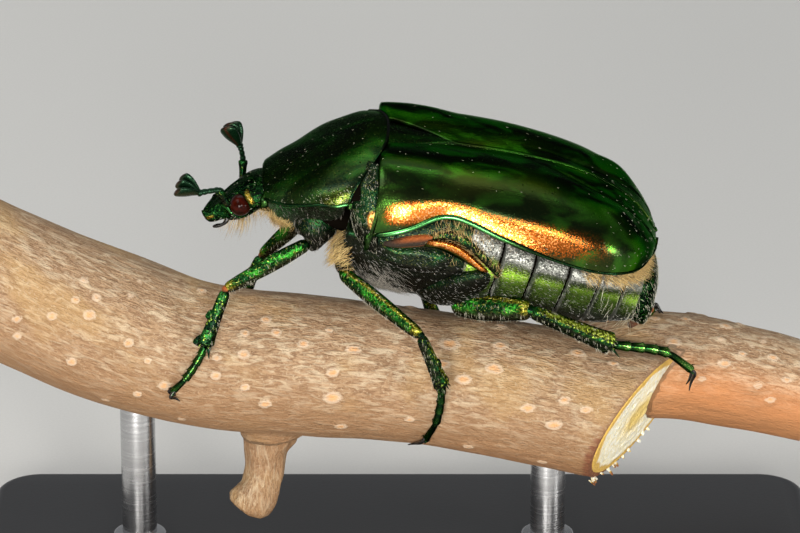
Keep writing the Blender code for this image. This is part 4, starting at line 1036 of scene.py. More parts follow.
@dataclass(frozen=True)
class Underside:
    """The plates of the breast, the hips and the ringed belly."""

    trunk: Trunk
    shield: Pronotum
    seams: tuple[float, ...] = (3.9, 5.43, 6.85, 8.35, 9.69, 10.85, 11.75)
    throat: Track = Track(((-4.6, -4.3), (-4.12, -4.75), (-3.8, -5.0), (-3.2, -5.12), (-2.2, -5.05), (-1.5, -4.85),
                           (-1.15, -4.6)))
    pygidium: Track = Track.through([(12.0, -2.45, 2.3, -3.9, 2.5, -5.45), (12.28, -2.6, 2.15, -3.9, 2.35, -5.6),
                                     (12.5, -2.95, 1.8, -4.1, 2.0, -5.65), (12.64, -3.5, 1.2, -4.4, 1.35, -5.4)])
    wedge_front: Track = Track.through([(-0.85, 3.3, -0.35), (-1.15, 3.75, -1.0), (-1.25, 3.95, -1.7),
                                        (-1.15, 4.0, -2.3), (-0.95, 3.95, -2.9), (-0.5, 3.9, -3.6), (0.2, 3.85, -4.1)])
    wedge_rear: Track = Track.through([(-0.2, 3.55, -0.3), (-0.05, 4.1, -0.9), (0.0, 4.5, -1.7), (0.1, 4.62, -2.4),
                                       (0.2, 4.6, -3.0), (0.35, 4.4, -3.6), (0.4, 4.1, -4.05)])
    side_lines: tuple[Track, Track] = (
        Track.through([(0.4, -3.42), (1.4, -3.22), (2.26, -3.0), (2.9, -2.95), (3.66, -3.1)]),
        Track.through([(0.5, -4.2), (1.3, -4.35), (2.0, -4.35), (2.6, -4.25), (3.3, -3.9)]))
    ridge_lines: tuple[Track, Track] = (
        Track.through([(2.1, -2.66), (2.85, -2.42), (3.65, -2.48), (4.5, -2.95), (5.2, -3.45)]),
        Track.through([(2.15, -3.0), (2.85, -2.98), (3.6, -3.15), (4.35, -3.38), (5.1, -3.6)]))
    arch_lines: tuple[Track, Track] = (
        Track.through([(2.2, -2.45), (2.75, -2.12), (3.1, -1.95), (3.7, -2.0), (4.7, -2.55), (5.7, -3.35)]),
        Track.through([(2.2, -2.7), (2.85, -2.5), (3.65, -2.55), (4.55, -3.0), (5.2, -3.45), (5.7, -3.75)]))
    strip_lines: tuple[Track, Track] = (
        Track.through([(0.42, -3.3), (1.1, -2.86), (1.74, -2.54), (2.2, -2.38), (2.72, -2.32)]),
        Track.through([(0.46, -3.42), (1.0, -3.42), (1.4, -3.3), (2.15, -2.98), (2.74, -2.38)]))

    def build(self, shop: Workshop) -> dict[str, Object]:
        """Makes every plate and hands back those that grow hair."""
        skins = {"prosternum": self.build_prosternum(shop)}
        steady = Track(((0.0, -0.02), (1.0, -0.02)))
        skins["mesosternum"] = shop.add("mesosternum_plate", self.trunk.hoop((-0.95, 0.98), steady, 24), BELLY,
                                        Slot.BELLY, ["mesothorax"], BODY)
        skins["metasternum"] = shop.add("metasternum_plate", self.trunk.hoop((0.9, 5.3), steady, 44), BELLY,
                                        Slot.BELLY, ["metathorax"], BODY)
        rows = []
        for number, (start, end) in enumerate(zip(self.seams, self.seams[1:]), start=1):
            lift = Track(((0.0, -0.3), (0.05, -0.03), (0.3, 0.03), (0.9, 0.07), (0.96, 0.02), (1.0, -0.3)))
            hoop = self.trunk.hoop((start + 0.02, end - 0.02), lift, 30, self.lower_glow)
            rows.append(shop.add(f"sternite_{number}", hoop, STERNITE, Slot.BELLY,
                                 ["abdomen"] if number == 2 else [], BODY))
        core = Track(((0.0, -0.25), (1.0, -0.25)))
        shop.add("belly_core", self.trunk.hoop((4.0, 11.7), core, 24), JOINT, Slot.BELLY, axes=BODY)
        skins["sternites"] = rows
        self.build_collar(shop)
        for side in Side:
            self.build_side(shop, side, skins)
        skins["pygidium"] = self.build_pygidium(shop)
        return skins

    @staticmethod
    def lower_glow(turn: Array, along: Array) -> Array:
        """Where a belly ring turns under and shows bright green."""
        fold = np.abs(turn - 0.5) - 0.21
        return bump(fold, 0.095) * ease(along, 0.04, 0.3)

    def build_prosternum(self, shop: Workshop) -> Object:
        """Makes the underside of the first chest ring, and the soft waist and neck at its ends."""

        def place(turn: Array, share: Array) -> Array:
            """Sets the points between the shield's two margins."""
            along = clamp((share - 0.06) / 0.88)
            u, half, edge = self.shield.edge.at(lerp(0.02, 0.98, along)).T
            floor = self.throat.value(u)
            side, height = superellipse(turn * math.tau, 1.12)
            shut = clamp(np.minimum(share, 1.0 - share) / 0.06)
            w = edge + np.where(height > 0.0, 0.3 * height, (edge - floor) * height)
            core = np.full_like(w, -3.6)
            return np.column_stack([u, (half - 0.12) * side * shut, lerp(core, w, shut)])

        def front_glow(_turn: Array, share: Array) -> Array:
            """Green at the front end only."""
            u = self.shield.edge.at(lerp(0.02, 0.98, clamp((share - 0.06) / 0.88)))[:, 0]
            return 0.34 * ease(-u, 2.6, 3.9)

        plate = sheet(88, 50, place, closed=True, paint=front_glow)
        made = shop.add("prosternum_plate", plate, THROAT, Slot.BELLY, ["prosternum"], BODY)
        waist = Track.through([(-2.2, 0.0, -3.6, 2.3, 0.9), (-1.0, 0.0, -3.6, 2.4, 0.85), (0.2, 0.0, -3.5, 2.7, 0.9)])
        shop.add("waist_membrane", limb(waist, (0.0, 0.0, 1.0), columns=32, rows=16), JOINT, Slot.BELLY, axes=BODY)
        neck = Track.through([(-3.7, 0.0, -3.85, 1.3, 0.75), (-4.5, 0.02, -3.95, 1.2, 0.7),
                              (-5.1, 0.05, -4.2, 1.1, 0.6)])
        shop.add("neck_membrane", limb(neck, (0.0, 0.0, 1.0), columns=32, rows=16), JOINT, Slot.BELLY, axes=BODY)
        return made

    def build_collar(self, shop: Workshop) -> None:
        """Makes the dark fold that closes the joint between the shield and the wing cases."""

        def place(across: Array, along: Array) -> Array:
            """Sets the points from just inside the shield to just inside the wing cases."""
            front = self.shield.face((across - 0.5) * 1.84, np.full_like(across, 0.04))
            front[:, 2] -= 0.1
            v = front[:, 1] * 0.98
            height = np.maximum(1.0 - (np.abs(v) / 4.7) ** 3.4, 0.0) ** (1.0 / 3.4)
            rear = np.column_stack([np.full_like(v, 0.3), v, lerp(-2.95, -0.12, height) - 0.2])
            points = lerp(front, rear, along[:, None])
            points[:, 2] -= 0.12 * np.sin(along * math.pi)
            return points

        mesh = outwards(sheet(80, 14, place, paint=lambda across, along: 0.9 * bump(across - 0.5, 0.14)),
                        (-0.5, 0.0, -4.0))
        shop.add("collar_fold", mesh, JOINT, Slot.BELLY, axes=BODY, wall=0.08)

    def build_side(self, shop: Workshop, side: Side, skins: dict[str, Object]) -> None:
        """Makes the plates of one flank: the wedge by the shoulder, the side plates and the hip plate."""
        sign, word = side.value, side.word

        def place(across: Array, along: Array) -> Array:
            """Sets the points of the wedge, with its edges rolled in."""
            points = lerp(self.wedge_front.at(along), self.wedge_rear.at(along), across[:, None])
            inset = np.minimum(np.minimum(across, 1.0 - across), np.minimum(along, 1.0 - along))
            points[:, 1] += 0.22 * np.sin(math.pi * across) * np.sin(math.pi * along) ** 0.5
            points[:, 1] -= 0.22 * (1.0 - ease(inset, -0.02, 0.1))
            return points * (1.0, sign, 1.0)

        def spot(across: Array, along: Array) -> Array:
            """A painted golden highlight spot at the rear edge of the wedge."""
            return 1.3 * bump(np.hypot((along - 0.5) * 1.8, (across - 0.82) * 0.9), 0.26)

        wedge = outwards(sheet(30, 60, place, paint=spot), (0.0, 0.0, -3.0))
        skins[f"epimeron_{word}"] = shop.add(f"shoulder_wedge_{word}", wedge, BELLY, Slot.BELLY, axes=BODY, wall=0.15)
        panel = self.trunk.panel(side, *self.side_lines, 0.26, 24, 50)
        skins[f"episternum_{word}"] = shop.add(f"side_plate_{word}", panel, BELLY, Slot.BELLY, axes=BODY, wall=0.1)
        panel = self.trunk.panel(side, *self.arch_lines, 0.28, 18, 60)
        skins[f"arch_{word}"] = shop.add(f"side_arch_{word}", panel, SHIN, Slot.BELLY, axes=BODY, wall=0.1)
        # The ridge carries a painted copper glint, partly the cuticle's copper colour.
        panel = self.trunk.panel(side, *self.ridge_lines, 0.42, 20, 60,
                                 lambda across, along: bump(across - 0.66, 0.4) * ease(along, 0.0, 0.15))
        shop.add(f"side_ridge_{word}", panel, ELYTRA, Slot.BELLY, axes=BODY, wall=0.1)
        # The fold's upper part takes the russet membrane colour; the thin line along its lower edge is a painted
        # highlight.
        panel = self.trunk.panel(side, *self.strip_lines, 0.18, 24, 50,
                                 lambda across, along: np.maximum(
                                     bump(across - 0.04, 0.1),
                                     0.9 * ease(across, 0.35, 0.75) * ease(along, 0.1, 0.5)))
        shop.add(f"side_fold_{word}", panel, FOLD, Slot.BELLY, axes=BODY, wall=0.08)
        hip = Track.through([(2.6, sign * 1.0, -5.55, 0.9, 0.5), (3.5, sign * 2.3, -5.5, 1.15, 0.7),
                             (4.15, sign * 3.55, -4.65, 1.0, 0.6), (4.7, sign * 4.18, -3.98, 0.86, 0.42),
                             (5.2, sign * 4.44, -3.45, 0.5, 0.25)])
        skins[f"hip_{word}"] = shop.add(f"hind_hip_{word}", limb(hip, (0.0, 0.3, 1.0), columns=28, rows=36,
                                                                 rounding=0.15), BELLY, Slot.BELLY, axes=BODY)

    def build_pygidium(self, shop: Workshop) -> Object:
        """Makes the upright plate that closes the tail."""

        def place(turn: Array, share: Array) -> Array:
            """Sets the points of a rounded plate."""
            u, roof, high_half, waist, low_half, floor = self.pygidium.at(clamp(share / 0.8)).T
            side, height = superellipse(turn * math.tau, 2.4)
            half = np.where(height > 0.0, high_half, low_half)
            w = np.where(height > 0.0, lerp(waist, roof, height), lerp(waist, floor, -height))
            shut = 1.0 - clamp((share - 0.8) / 0.2)
            dome = 0.06 * (1.0 - shut ** 2)
            return np.column_stack([u - 0.2 * (1.0 - share) + dome, half * side * shut, lerp(waist, w, shut)])

        flap = Track.through([(9.7, -1.0, DATUM - 2.35, 0.14, 0.06), (10.3, -1.0, DATUM - 1.9, 0.2, 0.07),
                              (10.75, -1.0, DATUM - 1.45, 0.13, 0.06)])
        shop.add("tail_flap", limb(flap, (0.2, 1.0, 0.0), paint=lambda turn, along: 0.6 * along), FOLD, Slot.BELLY)
        return shop.add("pygidium_plate", sheet(64, 30, place, closed=True), FACE, Slot.SHELL, ["pygidium"], BODY)


@dataclass(frozen=True)
class Head:
    """The capsule with its snout plate, eyes, feelers and mouthparts."""

    rings: Track = Track(((-0.9, 1.35, -0.75, -1.6, 2.2), (-0.3, 1.55, -0.42, -1.5, 2.3),
                          (0.3, 1.66, -0.1, -1.42, 2.4), (0.9, 1.68, 0.05, -1.38, 2.6),
                          (1.35, 1.55, 0.04, -1.28, 2.8), (1.75, 1.28, 0.0, -1.1, 3.2), (2.1, 1.2, -0.04, -0.85, 3.6),
                          (2.45, 1.2, -0.06, -0.7, 3.8), (2.68, 1.12, -0.02, -0.6, 3.8),
                          (2.78, 0.94, -0.1, -0.52, 3.2)))
    eye: Triple = (0.86, 1.47, -0.64)
    eye_radii: Triple = (0.48, 0.48, 0.46)
    palp: tuple[tuple[float, ...], ...] = ((1.9, 0.6, -0.75, 0.08, 0.08), (2.15, 0.72, -0.92, 0.1, 0.1),
                                           (2.4, 0.78, -0.95, 0.07, 0.07), (2.65, 0.78, -0.86, 0.09, 0.09),
                                           (2.85, 0.76, -0.78, 0.05, 0.05))

    def face(self, x: Array, turn: Array, shut: Array) -> Array:
        """Points of the capsule at a station and a turn round it, with its ridges, rims and eye rings."""
        half, roof, floor, power = self.rings.at(x).T
        side, height = superellipse(turn * math.tau, power)
        y = half * side * shut
        middle = 0.5 * (roof + floor)
        z = middle + 0.5 * (roof - floor) * height * shut
        top = ease(height, 0.2, 0.9)
        ridge = 0.07 * bump(y, 0.3) * bump(x - 1.5, 1.3)
        sides = 0.09 * bump(np.abs(y) - half + 0.14, 0.16) * ease(x, 1.5, 2.0)
        lip = 0.08 * ease(x, 2.46, 2.64)
        hollow = 0.05 * bump(np.abs(y) - 0.55, 0.4) * bump(x - 1.9, 0.8)
        z = z + top * (ridge + sides + lip - hollow)
        gap = np.sqrt((x - self.eye[0]) ** 2 + (np.abs(y) - self.eye[1]) ** 2 + (z - self.eye[2]) ** 2)
        orbit = 0.07 * bump(gap - 0.56, 0.12)
        return np.column_stack([x, y + np.sign(y) * orbit, z + np.sign(height) * orbit * 0.5])

    def build(self, shop: Workshop) -> dict[str, Object]:
        """Makes the head's pieces and hands back those that grow hair."""

        def place(turn: Array, share: Array) -> Array:
            """Sets the points, drawn in to the axis at both ends."""
            along = clamp((share - 0.05) / 0.9)
            ends = clamp(np.minimum(share, 1.0 - share) / 0.05)
            return self.face(lerp(-0.9, 2.8, along), turn, np.sqrt(1.0 - (1.0 - ends) ** 2))

        def paint(turn: Array, share: Array) -> Array:
            """A painted golden highlight behind each eye, and the pale patch at the corners of the snout."""
            x = lerp(-0.9, 2.8, clamp((share - 0.05) / 0.9))
            beside = bump(np.abs(np.abs(turn - 0.5) - 0.29), 0.1)
            return (0.95 * beside * bump(x - 0.28, 0.12)
                    + 0.5 * bump(np.abs(turn - 0.5) - 0.27, 0.05) * bump(x - 2.5, 0.3))

        skins = {"head": shop.add("head_capsule", sheet(112, 90, place, closed=True, paint=paint), FACE, Slot.SHELL,
                                  ["head"], HEAD)}
        for side in Side:
            self.build_side(shop, side)
        chin = Track.through([(1.0, 0.0, -1.2, 0.85, 0.22), (1.7, 0.0, -1.08, 0.7, 0.24), (2.4, 0.0, -0.82, 0.5, 0.16)])
        skins["chin"] = shop.add("mouth_pad", limb(chin, (0.0, 0.0, 1.0), columns=28, rows=20, rounding=0.2),
                                 JOINT, Slot.SHELL, axes=HEAD)
        return skins

    def build_side(self, shop: Workshop, side: Side) -> None:
        """Makes one eye with the ridge in front of it, and one palp."""
        sign, word = -side.value, side.word
        eye = bmesh.new()
        bmesh.ops.create_uvsphere(eye, u_segments=48, v_segments=32, radius=1.0)
        bmesh.ops.scale(eye, vec=self.eye_radii, verts=eye.verts)
        bmesh.ops.translate(eye, vec=(self.eye[0], sign * self.eye[1], self.eye[2]), verts=eye.verts)
        shop.add(f"eye_{word}_ball", eye, EYE, Slot.EYE, [f"eye_{word}"], HEAD)
        canthus = Track.through([(1.62, sign * 1.32, -0.22, 0.08, 0.1), (1.38, sign * 1.62, -0.36, 0.09, 0.1),
                                 (1.26, sign * 1.86, -0.5, 0.06, 0.07), (1.2, sign * 1.96, -0.66, 0.04, 0.05)])
        shop.add(f"canthus_{word}", limb(canthus, (0.0, 0.0, 1.0), columns=12, rows=18,
                                         paint=lambda turn, along: 0.4 + 0.4 * along),
                 BEAD, Slot.SHELL, axes=HEAD)
        palp = Track.through([(x, sign * y, z, *size) for x, y, z, *size in self.palp])
        shop.add(f"palp_{word}", limb(palp, (0.0, 0.0, 1.0), columns=14, rows=30), CLAW, Slot.ANTENNA, axes=HEAD)


@dataclass(frozen=True)
class Feeler:
    """One antenna: a stout green root joint, a beaded stalk and a club of three leaves."""

    side: Side
    joints: tuple[Triple, ...]
    tips: tuple[Triple, ...]
    beads: int = 6

    def build(self, shop: Workshop) -> None:
        """Makes the antenna's pieces."""
        word = self.side.word
        joints = [above(point) for point in self.joints]
        fan = unit(above(self.tips[2]) - above(self.tips[0]))
        sunk = joints[0] - 0.25 * unit(joints[1] - joints[0])
        scape = Track.through([(*sunk, 0.15, 0.15), (*lerp(joints[0], joints[1], 0.4), 0.16, 0.16),
                               (*lerp(joints[0], joints[1], 0.85), 0.2, 0.2), (*joints[1], 0.13, 0.13)])
        shop.add(f"feeler_{word}_scape", limb(scape, fan, rows=24), SHIN, Slot.ANTENNA, [f"antenna_{word}"])
        stalk = Track.through([(*lerp(joints[1], joints[0], 0.15), 0.11, 0.11), (*joints[1], 0.12, 0.12),
                               (*joints[2], 0.11, 0.11), (*joints[3], 0.15, 0.15)])
        shop.add(f"feeler_{word}_stalk",
                 limb(stalk, fan, rows=90, rounding=0.05,
                      relief=lambda turn, along: 0.22 * np.abs(np.sin(along * math.pi * self.beads)) - 0.1),
                 FEELER, Slot.ANTENNA)
        root = lerp(joints[3], joints[2], 0.25)
        reach = unit(lerp(above(self.tips[0]), above(self.tips[2]), 0.5) - root)
        across = unit(np.cross(fan, reach))
        for number, tip in enumerate(self.tips, start=1):
            end = above(tip)
            rows = [(*root, 0.1, 0.1), (*lerp(root, end, 0.25), 0.24, 0.11), (*lerp(root, end, 0.55), 0.36, 0.14),
                    (*lerp(root, end, 0.85), 0.36, 0.14), (*end, 0.22, 0.1)]
            leaf = limb(Track.through(rows), np.cross(across, unit(end - root)), columns=24, rows=36, rounding=0.12,
                        paint=lambda turn, along: 0.5 * ease(along, 0.75, 1.0) + 0.8 * bump(turn - 0.25, 0.03))
            shop.add(f"feeler_{word}_leaf_{number}", leaf, FEELER, Slot.ANTENNA)


@dataclass(frozen=True)
class LegPlan:
    """The joints of one leg above the branch's datum, from its hip to its claws."""

    name: str
    hip: Triple
    knee: Triple
    ankle: Triple
    foot: tuple[Triple, ...]
    claw: Triple
    outer: Triple
    teeth: tuple[tuple[float, float], ...]
    coxa: tuple[Triple, ...] = ()
    thigh: float = 0.72
    foot_girth: float = 0.165
    laid: float = 1.0


FORWARD, BACKWARD, UPWARD = (-1.0, 0.0, 0.2), (1.0, 0.0, 0.2), (0.0, 0.0, 1.0)
FRONT_TEETH, SHIN_TEETH = ((0.45, 0.45), (0.9, 0.6)), ((0.55, 0.35),)
LEGS = (
    LegPlan("leg_front_left", (-4.0, -1.85, 1.72), (-7.3, -2.75, 0.1), (-8.24, -3.15, -2.35),
            ((-8.42, -3.3, -2.75), (-8.75, -3.45, -3.3), (-9.1, -3.6, -3.8), (-9.6, -3.7, -4.45)),
            (-9.35, -3.45, -4.9), FORWARD, FRONT_TEETH, ((-3.35, -1.35, 3.1), (-3.75, -1.7, 1.9))),
    LegPlan("leg_front_right", (-4.0, 1.95, 1.6), (-5.95, 3.6, -0.9), (-7.0, 3.5, -3.1),
            ((-7.2, 3.5, -3.5), (-7.5, 3.6, -4.1), (-7.8, 3.6, -4.7), (-8.2, 3.5, -5.4)),
            (-8.0, 3.2, -5.85), FORWARD, FRONT_TEETH, ((-3.35, 1.35, 3.1), (-3.75, 1.7, 1.9))),
    LegPlan("leg_middle_left", (-2.35, -2.15, 0.5), (0.85, -4.35, -1.35), (1.8, -3.75, -3.95),
            ((1.75, -3.75, -4.35), (1.68, -3.7, -5.1), (1.5, -3.45, -6.05), (1.1, -2.95, -7.25)),
            (0.5, -2.0, -8.1), BACKWARD, SHIN_TEETH, ((-1.75, -1.2, 1.5), (-2.25, -1.75, 0.75)), thigh=0.78),
    LegPlan("leg_middle_right", (-2.35, 2.15, 0.5), (0.6, 4.35, -1.35), (1.5, 3.75, -3.95),
            ((1.5, 3.75, -4.35), (1.45, 3.7, -5.1), (1.3, 3.45, -6.05), (0.95, 2.95, -7.25)),
            (0.4, 2.0, -8.1), BACKWARD, SHIN_TEETH, ((-1.75, 1.2, 1.5), (-2.25, 1.75, 0.75)), thigh=0.78),
    LegPlan("leg_hind_left", (2.4, -2.75, -0.6), (5.4, -4.15, -0.3), (9.0, -2.75, -2.45),
            ((9.8, -2.4, -2.7), (10.65, -2.05, -2.95), (11.45, -1.65, -3.35), (12.4, -1.05, -4.3)),
            (12.3, -0.75, -5.3), UPWARD, SHIN_TEETH, thigh=1.22, foot_girth=0.2, laid=0.0),
    LegPlan("leg_hind_right", (2.3, 2.75, -0.95), (5.4, 4.15, -0.5), (8.6, 3.0, -2.2),
            ((8.95, 2.9, -2.45), (9.6, 2.8, -2.75), (10.2, 2.8, -2.95), (10.9, 2.8, -3.1)),
            (11.35, 2.75, -3.4), UPWARD, SHIN_TEETH, thigh=1.08, foot_girth=0.2),
)


@dataclass(frozen=True)
class Leg:
    """One leg, from its hip cone to its claws."""

    plan: LegPlan
    branch: Branch
    thigh: Track = Track(((0.0, 0.3, 0.28), (0.1, 0.42, 0.32), (0.4, 0.5, 0.36), (0.75, 0.42, 0.33),
                          (0.94, 0.34, 0.3), (1.0, 0.26, 0.26)))
    shin: Track = Track(((0.0, 0.2, 0.2), (0.1, 0.26, 0.24), (0.45, 0.29, 0.25), (0.8, 0.35, 0.28), (0.96, 0.4, 0.3),
                         (1.0, 0.34, 0.27)))
    joint_shares: tuple[float, ...] = (0.0, 0.2, 0.38, 0.55, 0.7, 1.0)

    def straight(self, start: Array, end: Array, shape: Track, scale: float = 1.0) -> Track:
        """A track along a straight limb."""
        return Track(tuple((*row[:1], *lerp(start, end, row[0]), row[1] * scale, row[2] * scale)
                           for row in shape.stations))

    def build(self, shop: Workshop) -> dict[str, Object]:
        """Makes the leg's pieces and hands back its thigh and shin, which grow bristles."""
        plan = self.plan
        hip, knee, ankle = (above(point) for point in (plan.hip, plan.knee, plan.ankle))
        skins = {"hip": self.build_coxa(shop, hip)} if plan.coxa else {}
        along = unit(knee - hip)
        level = np.cross(along, (0.0, 0.0, 1.0))
        # The thigh's tint is a painted highlight: a bright line along it and a patch near the knee.
        thigh = limb(self.straight(hip - 0.25 * along, knee + 0.12 * along, self.thigh, plan.thigh), level, columns=32,
                     rows=60, relief=lambda turn, along: 0.03 * np.cos(turn * math.tau * 2.0),
                     paint=lambda turn, along: 0.45 * bump(along - 0.9, 0.14) + 0.6 * bump(turn - 0.42, 0.06))
        skins["thigh"] = shop.add(f"{plan.name}_thigh", thigh, LEG, Slot.LEG, [f"{plan.name}_femur"])
        wide = 0.14 * plan.thigh + 0.06
        cuff = Track.through([(*(knee - 0.1 * along), wide, wide), (*(knee + 0.04 * along), wide, wide),
                              (*(knee + 0.16 * unit(ankle - knee)), 0.8 * wide, 0.8 * wide)])
        front = "front" in plan.name
        shop.add(f"{plan.name}_knee", limb(cuff, level, rows=14, rounding=0.3,
                                           paint=lambda turn, along: (0.8 if front else 0.0) * bump(along - 0.4, 0.4)),
                 FOLD if front else SHIN, Slot.LEG)
        skins["shin"] = self.build_shin(shop, knee, ankle)
        self.build_foot(shop, ankle)
        return skins

    def build_coxa(self, shop: Workshop, hip: Array) -> Object:
        """Makes the hip cone and the small ring that joins it to the thigh."""
        top, bottom = (above(point) for point in self.plan.coxa)
        inner = top - 0.5 * unit(bottom - top)
        cone = Track.through([(*inner, 0.7, 0.7), (*lerp(top, bottom, 0.5), 0.92, 0.88), (*bottom, 0.56, 0.56),
                              (*lerp(bottom, hip, 0.6), 0.3, 0.3)])
        return shop.add(f"{self.plan.name}_hip", limb(cone, (0.0, 1.0, 0.0), columns=28, rows=36, rounding=0.12), BELLY,
                        Slot.BELLY, [f"{self.plan.name}_coxa"])

    def build_shin(self, shop: Workshop, knee: Array, ankle: Array) -> Object:
        """Makes the shin with its ridges, outer teeth and the spines and spurs at its end."""
        along = unit(ankle - knee)
        level = np.cross(along, (0.0, 0.0, 1.0))
        start = knee + 0.08 * along
        stout = 1.18 if self.plan.foot_girth > 0.19 else 0.92
        # The shin's tint is a painted highlight: a bright stripe along it, stronger on the stout hind shins.
        shape = limb(self.straight(start, ankle, self.shin, stout), level, columns=32, rows=70, rounding=0.06,
                     relief=lambda turn, share: 0.06 * np.cos(turn * math.tau * 4.0) + 0.05 * bump(share - 0.62, 0.05),
                     paint=lambda turn, share: stout ** 2 * 0.5 * bump(turn - 0.38, 0.13) * ease(share, 0.02, 0.3))
        edge = np.array(self.plan.outer)
        edge = unit(edge - along * np.dot(edge, along))
        side = np.cross(along, edge)
        thorns = []
        for share, length in self.plan.teeth:
            root = lerp(start, ankle, share) + edge * 0.08
            tip = root + edge * length * 0.75 + along * length * 0.45
            lobe = Track.through([(*(root - along * 0.1), 0.24, 0.17), (*lerp(root, tip, 0.5), 0.22, 0.14),
                                  (*tip, 0.1, 0.08)])
            thorns.append(limb(lobe, side, columns=14, rows=12, rounding=0.25))
        for lean in (-1.0, 0.2, 1.0):
            root = ankle - along * 0.14 + side * lean * 0.2 - edge * 0.1
            tip = root - edge * 0.25 + side * lean * 0.16 + along * (0.62 - 0.1 * abs(lean))
            thorns.append(thorn(root, tip, 0.075))
        for step in range(9):
            angle = math.tau * step / 9
            out = edge * math.cos(angle) + side * math.sin(angle)
            root = ankle - along * 0.1 + out * 0.25
            thorns.append(thorn(root, root + out * 0.08 + along * 0.2, 0.04))
        return shop.add(f"{self.plan.name}_shin", merged([shape, *thorns]), SHIN, Slot.LEG,
                        [f"{self.plan.name}_tibia"])

    def build_foot(self, shop: Workshop, ankle: Array) -> None:
        """Makes the five foot joints and the pair of claws, laid down on the bark."""
        girth = self.plan.foot_girth
        joints = [self.branch.settled(above(point), girth * 1.15, self.plan.laid * (0.2 + 0.8 * index / 3))
                  for index, point in enumerate(self.plan.foot)]
        path = Track.through([tuple(ankle), *(tuple(point) for point in joints)])
        parts = []
        for start, end in zip(self.joint_shares, self.joint_shares[1:]):
            rows = []
            for share, size in ((0.0, 0.88), (0.3, 0.98), (0.7, 1.08), (0.94, 1.14), (1.0, 1.0)):
                last = 0.8 if end == 1.0 else 1.0
                width = girth * size * last
                rows.append((*path.at(lerp(start, end + 0.02, share))[0], width, width))
            # Painted highlight: brighter green over the middle of each joint, stronger on the stout hind feet.
            parts.append(limb(Track.through(rows), (0.3, 1.0, 0.2), columns=16, rows=18, rounding=0.1,
                              paint=lambda turn, along: (0.7 if girth > 0.19 else 0.3) * bump(along - 0.6, 0.4)))
            tip = path.at(end)[0]
            before = path.at(end - 0.04)[0]
            along = unit(tip - before)
            for turn in (0.15, 0.45, 0.8):
                side = unit(np.cross(along, (0.3, 1.0, 0.2)))
                out = side * math.cos(turn * math.tau) + np.cross(side, along) * math.sin(turn * math.tau)
                root = tip - along * 0.06 + out * girth * 0.9
                parts.append(thorn(root, root + out * 0.1 + along * 0.17, 0.03))
        name = self.plan.name
        shop.add(f"{name}_foot", merged(parts), FOOT, Slot.LEG, [f"{name}_tarsus"])
        end, before = joints[-1], joints[-2]
        claw = self.branch.settled(above(self.plan.claw), 0.0, 0.9 * self.plan.laid)
        along = unit(end - before)
        across = unit(np.cross(along, claw - end))
        claws = []
        for lean in (-1.0, 1.0):
            hook = Track.through([(*(end - along * 0.12 + across * lean * 0.06), 0.09, 0.09),
                                  (*(end + along * 0.2 + across * lean * 0.17), 0.085, 0.085),
                                  (*lerp(end + along * 0.24 + across * lean * 0.24, claw, 0.55), 0.06, 0.06),
                                  (*(claw + across * lean * 0.22), 0.018, 0.018)])
            claws.append(limb(hook, across, columns=12, rows=24, rounding=0.05))
        shop.add(f"{name}_claws", merged(claws), CLAW, Slot.LEG)


